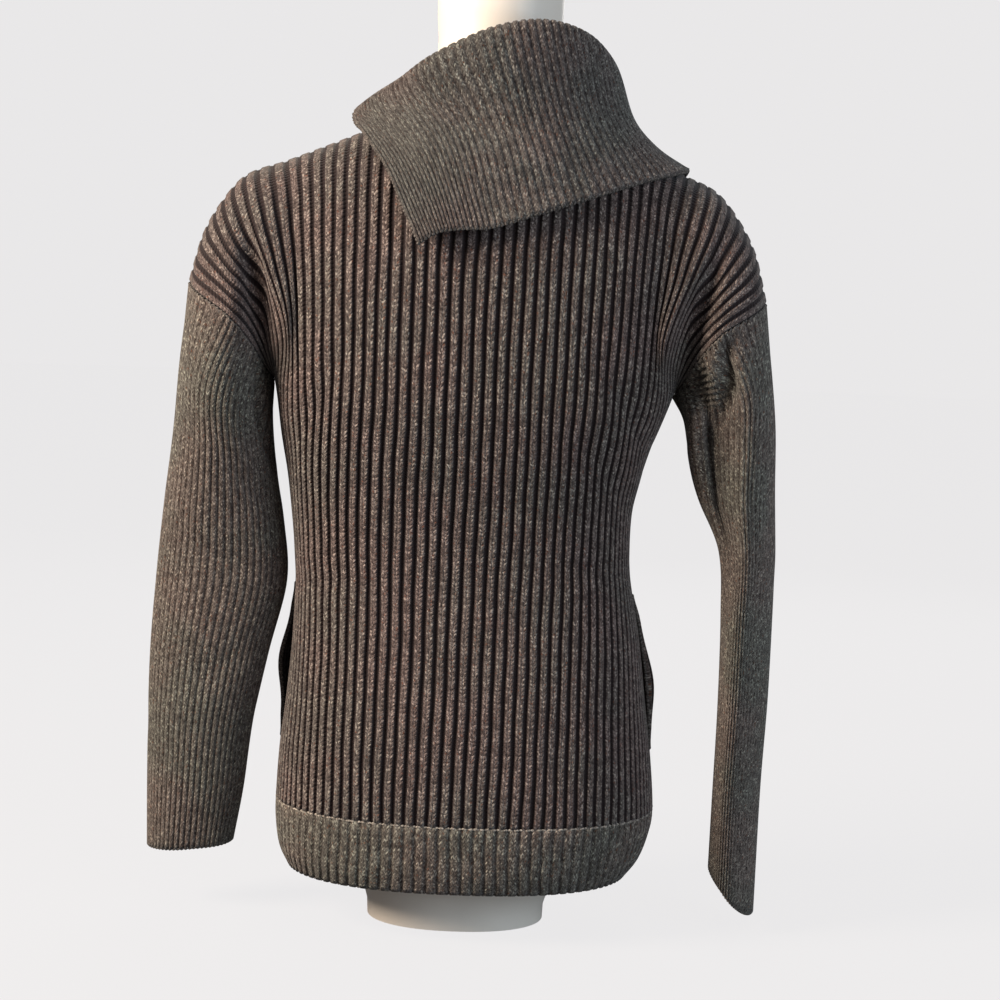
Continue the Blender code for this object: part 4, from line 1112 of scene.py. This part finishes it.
class KnitColours(PropertyGroup):
    """Colours of yarn, shell and studio."""

    marl_dark: FloatVectorProperty(name="Marl dark", description="Darkest ply of the marled yarn",
                                   default=(0.026, 0.020, 0.018), subtype="COLOR")
    marl_mid: FloatVectorProperty(name="Marl middle", description="Main shade of the marled yarn",
                                  default=(0.085, 0.068, 0.061), subtype="COLOR")
    marl_light: FloatVectorProperty(name="Marl light", description="Light ply of the marled yarn",
                                    default=(0.170, 0.146, 0.132), subtype="COLOR")
    marl_cream: FloatVectorProperty(name="Marl cream", description="Cream flecks in the yarn",
                                    default=(0.420, 0.380, 0.330), subtype="COLOR")
    rust: FloatVectorProperty(name="Rust", description="Rust flecks in the yarn",
                              default=(0.160, 0.062, 0.034), subtype="COLOR")
    # Painted shade: the dark colour that the grooves between ribs are darkened towards
    groove: FloatVectorProperty(name="Groove", description="Colour deep between two ribs",
                                default=(0.0210, 0.0130, 0.0130), subtype="COLOR")
    patch_warm: FloatVectorProperty(name="Warm patches", description="Cast of the yarn's warmer patches",
                                    default=(1.00, 0.93, 0.90), subtype="COLOR")
    patch_green: FloatVectorProperty(name="Green patches", description="Cast of the yarn's greener patches",
                                     default=(0.88, 0.95, 0.90), subtype="COLOR")
    body_cast: FloatVectorProperty(name="Body cast", description="Cast of the body's yarn",
                                   default=(0.97, 0.89, 0.93), subtype="COLOR")
    fine_cast: FloatVectorProperty(name="Fine cast", description="Cast of the yarn of sleeves and hem",
                                   default=(1.0, 1.0, 1.0), subtype="COLOR")
    # Painted shade: darkens and cools the collar's yarn, for shade on its upward-facing top
    collar_painted_shade: FloatVectorProperty(name="Collar cast", description="Cast of the collar's yarn",
                                     default=(0.87, 0.88, 0.93), subtype="COLOR")
    link: FloatVectorProperty(name="Linking yarn", description="Yarn of the seam's linked stitches",
                              default=(0.230, 0.198, 0.170), subtype="COLOR")
    edge: FloatVectorProperty(name="Edge yarn", description="Yarn of the bound-off edges",
                              default=(0.085, 0.072, 0.064), subtype="COLOR")
    shell: FloatVectorProperty(name="Form shell", description="Lacquer of the dress form",
                               default=(0.78, 0.70, 0.62), subtype="COLOR")


class StudioSettings(PropertyGroup):
    """Light and floor of the studio."""

    key_power: FloatProperty(name="Key light", description="Power of the warm light on the left",
                             default=160.0, unit="POWER")
    fill_power: FloatProperty(name="Fill light", description="Power of the cool light on the right",
                              default=30.0, unit="POWER")
    back_power: FloatProperty(name="Back light", description="Power of the light on the far side",
                              default=20.0, unit="POWER")
    air_light: FloatProperty(name="Air light", description="Strength of the light from all round",
                             default=0.35)
    floor_colour: FloatVectorProperty(name="Floor", description="Colour of floor and backdrop",
                                      default=(0.80, 0.79, 0.795), subtype="COLOR")


def body_grid_rows():
    lower = np.linspace(HEM_SEAM_RING + PANEL_START, ARMPIT_RING, BODY_ROW_COUNT)
    upper = np.linspace(ARMPIT_RING, SHOULDER_ROW, SHOULDER_ROW_COUNT)[1:]
    return np.concatenate([lower, upper])


def finished_cloth(made, node_name, slot, sheet_cut, groove_depth, crest_share, finish):
    """Raises the ribs, hides the part that the piece replaces, and keeps its cut, slot, flat size and area
    with its grids for the seams.
    """
    sizes = {"Groove Depth": groove_depth, "Crest Share": crest_share, "Groove Slope": GROOVE_SLOPE}
    grown(made, shared_tree("Raised ribs", rib_tree), {**sizes, "Finish": finish})
    for name in ("rib_place", "relief", "outward"):
        made.data.attributes.remove(made.data.attributes[name])
    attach(made, "root")
    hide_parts(node_name)
    cut[made.name].update({"piece": made, "slot": slot, "flat": sheet_cut[:2], "area": sheet_cut[2],
                           "crest_share": crest_share, "edges": []})


def straight_ribs(face, shares, rows):
    """The panel's crest points and normals with its middle ribs kept upright where the body narrows or leans.

    The ribs near the side seams close up for it, as they do in the worn knit.
    """
    dense = np.linspace(-1.0, 1.0, DENSE_COLUMNS)
    crests, outward = panel(face, dense, rows), panel_normals(face, dense, rows)
    ends = panel(face, dense, np.array([float(HEM_SEAM_RING), float(SHOULDER_ROW)]))
    middle = DENSE_COLUMNS // 2
    beside = middle + PITCH_COLUMNS
    step = dense[beside] - dense[middle]
    pitch = (crests[:, beside, 0] - crests[:, middle, 0]) / step
    end_pitch = (ends[:, beside, 0] - ends[:, middle, 0]) / step
    heights, end_heights = crests[:, middle, 2], ends[:, middle, 2]
    closer = np.interp(heights, end_heights, end_pitch) / pitch - 1
    shift = (np.interp(heights, end_heights, ends[:, middle, 0]) - crests[:, middle, 0]) / pitch
    spread = dense * (1 + MIDDLE_RIB_SPREAD * (1 - dense**2))
    wanted = shares * (1 + MIDDLE_RIB_SPREAD * (1 - shares**2))
    laid, turned = [], []
    for row, normals, less, aside in zip(crests, outward, closer, shift):
        places = np.interp(wanted * (1 + less * (1 - np.abs(shares) ** 3)), spread, dense)
        places = places + aside * (1 - shares**2) ** 2
        laid.append(np.stack([np.interp(places, dense, row[:, i]) for i in range(3)], axis=1))
        turned.append(np.stack([np.interp(places, dense, normals[:, i]) for i in range(3)], axis=1))
    return np.array(laid), unit(np.array(turned))


def face_piece(name, node_name, face, rows, groove_depth, finish, slot, sheet_cut, creases):
    """Knits one face of the body or of the hem band, pressed in at its creases."""
    sizes = bpy.context.scene.sweater_sizes
    ribs, shares = rib_columns(sizes.body_ribs, DEEP_RIB_COLUMNS, -1.0, 1.0)
    crests, outward = straight_ribs(face, shares, rows)
    from_side = smoothstep(0.0, SIDE_HOLD, 1 - np.abs(shares))
    from_top = smoothstep(0.0, SHOULDER_HOLD, SHOULDER_ROW - rows)
    press = troughs(crests[..., 0], crests[..., 2], creases) * (from_side[None, :] * from_top[:, None])
    crests = crests - outward * press[..., None]
    sideways = unit(np.gradient(crests, axis=1))
    drift = wandering(ribs, rows * DRIFT_ROW_LENGTH, sizes.body_ribs) * sizes.rib_drift
    crests = crests + sideways * drift[..., None]
    picked = np.arange(0, len(ribs), len(DEEP_RIB_COLUMNS))
    inner = crests[:, picked] - outward[:, picked] * BODY_WALL
    for grid in (crests, inner):
        grid[..., 1] += face * SEAM_GAP / 2
    near_shoulder = smoothstep(SHOULDER_ROW - SHOULDER_RELIEF_ROWS, SHOULDER_ROW, rows)
    row_relief = 1 - (1 - SHOULDER_RELIEF) * near_shoulder
    made = cloth(name, crests, outward, inner, ribs, ribs[picked], False, face > 0, row_relief)
    cut[name] = {"crests": crests, "outward": outward, "inner": inner, "ribs": ribs,
                 "depth": groove_depth * row_relief[-1]}
    finished_cloth(made, node_name, slot, sheet_cut, groove_depth, DEEP_CREST_SHARE, finish)


class SWEATER_OT_body(Operator):
    """Knits the back, the front and the two halves of the hem band"""

    bl_idname = "sweater.body"
    bl_label = "Body and hem band"

    def execute(self, context):
        sizes = context.scene.sweater_sizes
        rows = body_grid_rows()
        hem_rows = np.linspace(0.0, HEM_SEAM_RING - HEM_END, HEM_ROW_COUNT)
        for face, word, creases in ((-1, "back", BACK_CREASES), (1, "front", FRONT_CREASES)):
            face_piece(word + "_knit", word + "_panel", face, rows, sizes.groove_depth, body_knit(),
                       "body_knit", PANEL_CUT, creases)
            face_piece("hem_" + word + "_knit", "hem_band_" + word, face, hem_rows, HEM_GROOVE_DEPTH,
                       band_knit(), "fine_knit", HEM_CUT, ())
        return {"FINISHED"}


class SWEATER_OT_sleeves(Operator):
    """Knits both sleeves from armhole to cuff edge"""

    bl_idname = "sweater.sleeves"
    bl_label = "Sleeves"

    def execute(self, context):
        sizes = context.scene.sweater_sizes
        body_rows = body_grid_rows()
        rows = np.unique(np.concatenate([np.linspace(*steps) for steps in SLEEVE_ROW_STEPS]))
        ribs, turns = rib_columns(sizes.sleeve_ribs, FINE_RIB_COLUMNS, 0.0, 1.0)
        ribs, turns = ribs[:-1], turns[:-1]
        picked = np.arange(0, len(ribs), len(FINE_RIB_COLUMNS))
        for side, word, table, creases in ((-1, "left", LEFT_SLEEVE, LEFT_SLEEVE_CREASES),
                                           (1, "right", RIGHT_SLEEVE, RIGHT_SLEEVE_CREASES)):
            crests, outward = sleeve_crests(side, table, turns, rows, body_rows, creases)
            inner = crests[:, picked] - outward[:, picked] * FINE_WALL
            name = "sleeve_" + word + "_knit"
            made = cloth(name, crests, outward, inner, ribs, ribs[picked], True, side > 0)
            cut[name] = {"crests": crests, "outward": outward, "inner": inner, "ribs": ribs,
                         "depth": sizes.fine_groove_depth}
            finished_cloth(made, "sleeve_" + word, "fine_knit", SLEEVE_CUT, sizes.fine_groove_depth,
                           FINE_CREST_SHARE, fine_knit())
        return {"FINISHED"}


class SWEATER_OT_collar(Operator):
    """Knits the collar: one strip from the slit round the neck, folded over"""

    bl_idname = "sweater.collar"
    bl_label = "Collar"

    def execute(self, context):
        sizes = context.scene.sweater_sizes
        controls = collar_controls()
        last = len(controls) - 1.0
        layers = np.array(COLLAR_LAYERS)
        rows = np.linspace(0.0, layers[-1, 0], COLLAR_ROW_COUNT)
        gaps = np.interp(rows, layers[:, 0], layers[:, 1])
        ribs, stations = rib_columns(sizes.collar_ribs, FINE_RIB_COLUMNS, 0.0, last)
        hidden = collar_surface(controls, stations, rows)
        hidden[1:] = lay_on_body(hidden[1:], body_cloud(), gaps[1:])
        hidden = smoothed(hidden, COLLAR_SMOOTHING)
        outward = -unit(np.cross(np.gradient(hidden, axis=1), np.gradient(hidden, axis=0)))
        outward[0] = unit(outward[0] + np.array([0.0, 0.0, COLLAR_BASE_RISE]))
        crests = hidden + outward * FINE_WALL
        picked = np.append(np.arange(0, len(ribs) - 1, len(FINE_RIB_COLUMNS)), len(ribs) - 1)
        made = cloth("collar_knit", crests, outward, hidden[:, picked], ribs, ribs[picked], False, True)
        cut["collar_knit"] = {"crests": crests, "outward": outward, "inner": hidden[:, picked], "ribs": ribs,
                              "depth": sizes.fine_groove_depth}
        finished_cloth(made, "collar", "fine_knit", COLLAR_CUT, sizes.fine_groove_depth, FINE_CREST_SHARE,
                       collar_knit())
        return {"FINISHED"}


class SWEATER_OT_pockets(Operator):
    """Knits the side pockets on the front, with their rear edges gaping"""

    bl_idname = "sweater.pockets"
    bl_label = "Side pockets"

    def execute(self, context):
        sizes = context.scene.sweater_sizes
        heights = [ring[0] for ring in BODY_RINGS]
        own_heights = np.linspace(POCKET_BOTTOM, POCKET_TOP, POCKET_ROW_COUNT)
        rows = np.interp(own_heights, heights, range(len(heights)))
        ribs, shares = rib_columns(sizes.body_ribs, DEEP_RIB_COLUMNS, -1.0, 1.0)
        climb = np.linspace(0.0, 1.0, POCKET_ROW_COUNT)
        from_end = smoothstep(0.0, POCKET_END_CLIMB, np.minimum(climb, 1 - climb))
        thick = POCKET_WALL * (POCKET_END_WALL + (1 - POCKET_END_WALL) * from_end)
        for side, word in ((-1, "left"), (1, "right")):
            swell = np.sin(climb ** POCKET_SWELL_SHIFT[word] * math.pi) ** POCKET_SWELL_POWER
            kept = (shares * side > POCKET_INNER_SHARE) & (shares * side < POCKET_MOUTH_SHARE)
            places, own_ribs = shares[kept], ribs[kept]
            under = panel(1, places, rows)
            outward = panel_normals(1, places, rows)
            press = troughs(under[..., 0], under[..., 2], FRONT_CREASES)
            under = under - outward * press[..., None]
            gape_start = POCKET_MOUTH_SHARE - POCKET_GAPE_SHARE
            near_mouth = smoothstep(gape_start, POCKET_MOUTH_SHARE, np.abs(places))
            gape = POCKET_GAPE * swell[:, None] * near_mouth[None, :]
            fill = POCKET_FILL[word]
            inner = under + outward * (2 * SEAM_GAP + gape * (1 - fill))[..., None]
            to_mouth = np.clip(1 - (POCKET_MOUTH_SHARE - np.abs(places)) / POCKET_ROLL_SHARE, 0.0, 1.0)
            roll = np.sqrt(1 - POCKET_ROLL_DEPTH * to_mouth**2)
            crests = inner + outward * (thick[:, None] + gape * fill * roll[None, :])[..., None]
            name = "pocket_" + word + "_knit"
            inside = inner[:, ::POCKET_INNER_STEP]
            inside_ribs = own_ribs[::POCKET_INNER_STEP]
            made = cloth(name, crests, outward, inside, own_ribs, inside_ribs, False, True)
            cut[name] = {"crests": crests, "outward": outward, "inner": inside, "ribs": own_ribs,
                         "depth": POCKET_GROOVE_DEPTH}
            finished_cloth(made, "pocket_" + word, "body_knit", POCKET_CUT, POCKET_GROOVE_DEPTH,
                           POCKET_CREST_SHARE, body_knit())
        return {"FINISHED"}


class SWEATER_OT_dress_form(Operator):
    """Turns the smooth shell of the dress form"""

    bl_idname = "sweater.dress_form"
    bl_label = "Dress form"

    def execute(self, context):
        trunk = np.array([form_ring(*ring) for ring in FORM_TRUNK])
        heights = [ring[0] for ring in FORM_TRUNK]
        rings = list(spline(heights, trunk, np.linspace(0.0, heights[-1], FORM_TRUNK_RINGS)))
        rings += [ridge_ring(height, depth) for height, depth in zip(FORM_RIDGE_HEIGHTS, FORM_RIDGE_DEPTHS)]
        neck = np.array([form_ring(*ring) for ring in FORM_NECK])
        neck_heights = [ring[0] for ring in FORM_NECK]
        low_neck = np.linspace(neck_heights[0], neck_heights[FORM_STRAIGHT_RING], FORM_NECK_RINGS)
        rings += list(spline(neck_heights, neck, np.append(low_neck, FORM_TOP_HEIGHTS)))
        points = np.concatenate(rings)
        faces = grid_quads(len(rings), FORM_SIDES, 0, True, False)
        last = (len(rings) - 1) * FORM_SIDES
        faces.append(tuple(range(FORM_SIDES))[::-1])
        faces.append(tuple(range(last, last + FORM_SIDES)))
        mesh = bpy.data.meshes.new("form_shell")
        mesh.from_pydata(points.tolist(), [], faces)
        mesh.shade_smooth()
        mesh.set_sharp_from_angle(angle=math.radians(FORM_SHARP_EDGE))
        mesh.materials.append(shell_finish())
        made = add_object("form_shell", mesh)
        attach(made, "root")
        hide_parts("dress_form")
        return {"FINISHED"}


def on_ribs(owner, row, sunk):
    """A row of a piece's outside as a line that dips into each groove, a little below the surface."""
    grid = cut[owner]
    crest_edge = grid["crest_share"] / 2
    grooves = smoothstep(crest_edge, crest_edge + GROOVE_SLOPE, np.abs(grid["ribs"] % 1 - 0.5))
    return grid["crests"][row] - grid["outward"][row] * (grooves * grid["depth"] + sunk)[:, None]


def stitched(name, owner, lines, stitch, finish):
    """Rows of linked stitches along lines of points, each with its outward directions and if it closes."""
    points, outward, edges = [], [], []
    for line, directions, closes in lines:
        first = len(points)
        points += [tuple(point) for point in line]
        outward += [tuple(direction) for direction in directions]
        edges += [(first + i, first + i + 1) for i in range(len(line) - 1)]
        if closes:
            edges.append((len(points) - 1, first))
    mesh = bpy.data.meshes.new(name)
    mesh.from_pydata(points, edges, [])
    point_attribute(mesh, "outward", "FLOAT_VECTOR", outward)
    sizes = dict(zip(("Spacing", "Length", "Width", "Height", "Slant"), stitch))
    made = grown(add_object(name, mesh), shared_tree("Linked stitches", stitch_tree),
                 {**sizes, "Finish": finish})
    if not made.data.polygons:
        raise RuntimeError(name + " has no stitches")
    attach(made, "root")
    cut[owner]["edges"].append(made)


def rim_line(owner, row, closes):
    """About the middle of a wall's rim at one row, as a line for its bound-off edge."""
    grid = cut[owner]
    crest = grid["crests"][row] - grid["outward"][row] * grid["depth"] * 0.5
    inner = grid["inner"][row]
    places = np.linspace(0.0, 1.0, len(crest))
    inner_places = np.linspace(0.0, 1.0, len(inner))
    under = np.stack([np.interp(places, inner_places, inner[:, i]) for i in range(3)], axis=1)
    return (crest + under) / 2, grid["outward"][row], closes


def side_line(owner, column):
    grid = cut[owner]
    crest = grid["crests"][:, column] - grid["outward"][:, column] * grid["depth"]
    return (crest + grid["inner"][:, column]) / 2, grid["outward"][:, column], False


def shoulder_lines(owner):
    """The shoulder seam on both sides of the neckline, laid on the ribs."""
    outward = cut[owner]["outward"][-1]
    seam = on_ribs(owner, -1, SHOULDER_LINK_SUNK)
    on_shoulder = np.abs(np.linspace(-1.0, 1.0, len(seam))) > NECKLINE_SHARE
    middle = len(seam) // 2
    lines = []
    for half in (slice(None, middle), slice(middle, None)):
        kept = on_shoulder[half]
        lines.append((seam[half][kept], outward[half][kept], False))
    return lines


class SWEATER_OT_seams(Operator):
    """Links the hem band, armholes and shoulders, and binds off hem, cuffs, collar and pockets"""

    bl_idname = "sweater.seams"
    bl_label = "Seams and edges"

    def execute(self, context):
        colours = context.scene.sweater_colours
        if "collar_knit" not in cut or "pocket_left_knit" not in cut:
            raise RuntimeError("knit the pieces before their seams")
        linking = finish_named("linking_yarn", wool_finish, tuple(colours.link))
        edging = finish_named("edge_yarn", wool_finish, tuple(colours.edge))
        for word in ("back", "front"):
            band, face = "hem_" + word + "_knit", word + "_knit"
            seam = (on_ribs(band, -1, HEM_LINK_SUNK), cut[band]["outward"][-1], False)
            stitched("hem_linking_" + word, band, [seam], HEM_LINKS, linking)
            stitched("hem_edge_" + word, band, [rim_line(band, 0, False)], HEM_BINDING, edging)
            if word == "back":
                stitched("shoulder_linking", face, shoulder_lines(face), SHOULDER_LINKS, edging)
        for word in ("left", "right"):
            sleeve_name = "sleeve_" + word + "_knit"
            seam = (on_ribs(sleeve_name, 0, ARMHOLE_LINK_SUNK), cut[sleeve_name]["outward"][0], True)
            stitched("armhole_linking_" + word, sleeve_name, [seam], ARMHOLE_LINKS, edging)
            cuff = rim_line(sleeve_name, -1, True)
            stitched("cuff_edge_" + word, sleeve_name, [cuff], EDGE_BINDING, edging)
            pocket = "pocket_" + word + "_knit"
            mouth = -1 if word == "right" else 0
            stitched("pocket_edge_" + word, pocket, [side_line(pocket, mouth)], POCKET_BINDING, edging)
        collar = "collar_knit"
        edges = [rim_line(collar, -1, False), side_line(collar, 0), side_line(collar, -1)]
        stitched("collar_edge", collar, edges, EDGE_BINDING, edging)
        return {"FINISHED"}


def stage_finish(colour):
    """A floor that looks as pale as the backdrop and lights the part only a little."""
    finish = bpy.data.materials.new("studio_floor")
    finish.use_nodes = True
    tree = finish.node_tree
    shader = tree.nodes["Principled BSDF"]
    shader.inputs["Base Color"].default_value = (*(c * FLOOR_SHADE for c in colour), 1.0)
    shader.inputs["Roughness"].default_value = 1.0
    shader.inputs["Specular IOR Level"].default_value = 0.0
    shader.inputs["Emission Color"].default_value = (*colour, 1.0)
    seen = node(tree, "ShaderNodeLightPath").outputs["Is Camera Ray"]
    tree.links.new(ranged(tree, seen, 0.0, 1.0, FLOOR_GLOW, 1.0), shader.inputs["Emission Strength"])
    return finish


def area_light(name, place, size, colour, power):
    light = bpy.data.lights.new(name, "AREA")
    light.size = size
    light.energy = power
    light.color = colour
    made = bpy.data.objects.new(name, light)
    made.location = place
    aim = Vector(LIGHT_TARGET) - Vector(place)
    made.rotation_euler = aim.to_track_quat("-Z", "Y").to_euler()
    bpy.context.scene.collection.objects.link(made)


class SWEATER_OT_stage(Operator):
    """Sets out the pale floor, the soft light and the camera"""

    bl_idname = "sweater.stage"
    bl_label = "Studio"

    def execute(self, context):
        studio = context.scene.sweater_studio
        mesh = bpy.data.meshes.new("studio_floor")
        around = [2 * math.pi * i / FLOOR_SIDES for i in range(FLOOR_SIDES)]
        rim = [(FLOOR_RADIUS * math.cos(a), FLOOR_RADIUS * math.sin(a), -FLOOR_DROP) for a in around]
        mesh.from_pydata(rim, [], [tuple(range(FLOOR_SIDES))])
        mesh.materials.append(stage_finish(studio.floor_colour))
        add_object("studio_floor", mesh)
        world = bpy.data.worlds.new("studio_air")
        world.use_nodes = True
        tree = world.node_tree
        air = tree.nodes["Background"]
        air.inputs["Color"].default_value = (*studio.floor_colour, 1.0)
        seen = node(tree, "ShaderNodeLightPath").outputs["Is Camera Ray"]
        strength = ranged(tree, seen, 0.0, 1.0, studio.air_light, BACKDROP_GLOW)
        tree.links.new(strength, air.inputs["Strength"])
        context.scene.world = world
        area_light(*KEY_LIGHT, studio.key_power)
        area_light(*FILL_LIGHT, studio.fill_power)
        area_light(*BACK_LIGHT, studio.back_power)
        camera = bpy.data.cameras.new("photo_camera")
        camera.sensor_width = 36.0
        camera.lens = PHOTO_LENS
        made = bpy.data.objects.new("photo_camera", camera)
        rise = math.radians(PHOTO_ELEVATION)
        back = Vector((0.0, -math.cos(rise), math.sin(rise)))
        made.location = Vector(PHOTO_TARGET) + back * PHOTO_DISTANCE
        turn = (-back).to_track_quat("-Z", "Y") @ Quaternion((0.0, 0.0, 1.0), math.radians(PHOTO_ROLL))
        made.rotation_euler = turn.to_euler()
        context.scene.collection.objects.link(made)
        context.scene.camera = made
        context.scene.view_settings.view_transform = "Standard"
        return {"FINISHED"}


class SWEATER_PT_panel(Panel):
    """Lists the sweater's pieces in the sidebar"""

    bl_label = "Ribbed sweater"
    bl_space_type = "VIEW_3D"
    bl_region_type = "UI"
    bl_category = "Sweater"

    def draw(self, context):
        scene = context.scene
        for group in (scene.sweater_sizes, scene.sweater_colours, scene.sweater_studio):
            box = self.layout.box()
            for name in group.__annotations__:
                box.prop(group, name)
        for operator in PIECES:
            self.layout.operator(operator.bl_idname)


PIECES = (SWEATER_OT_body, SWEATER_OT_sleeves, SWEATER_OT_collar, SWEATER_OT_pockets, SWEATER_OT_seams,
          SWEATER_OT_dress_form, SWEATER_OT_stage)
GROUPS = (("sweater_sizes", KnitSizes), ("sweater_colours", KnitColours), ("sweater_studio", StudioSettings))


def register():
    for name, group in GROUPS:
        bpy.utils.register_class(group)
        setattr(bpy.types.Scene, name, PointerProperty(type=group))
    for operator in PIECES:
        bpy.utils.register_class(operator)
    bpy.utils.register_class(SWEATER_PT_panel)


def unregister():
    bpy.utils.unregister_class(SWEATER_PT_panel)
    for operator in reversed(PIECES):
        bpy.utils.unregister_class(operator)
    for name, group in reversed(GROUPS):
        delattr(bpy.types.Scene, name)
        bpy.utils.unregister_class(group)


def main():
    register()
    bpy.ops.sweater.body()
    bpy.ops.sweater.sleeves()
    bpy.ops.sweater.collar()
    bpy.ops.sweater.pockets()
    bpy.ops.sweater.seams()
    bpy.ops.sweater.dress_form()
    bpy.ops.sweater.stage()


if __name__ == "__main__":
    main()
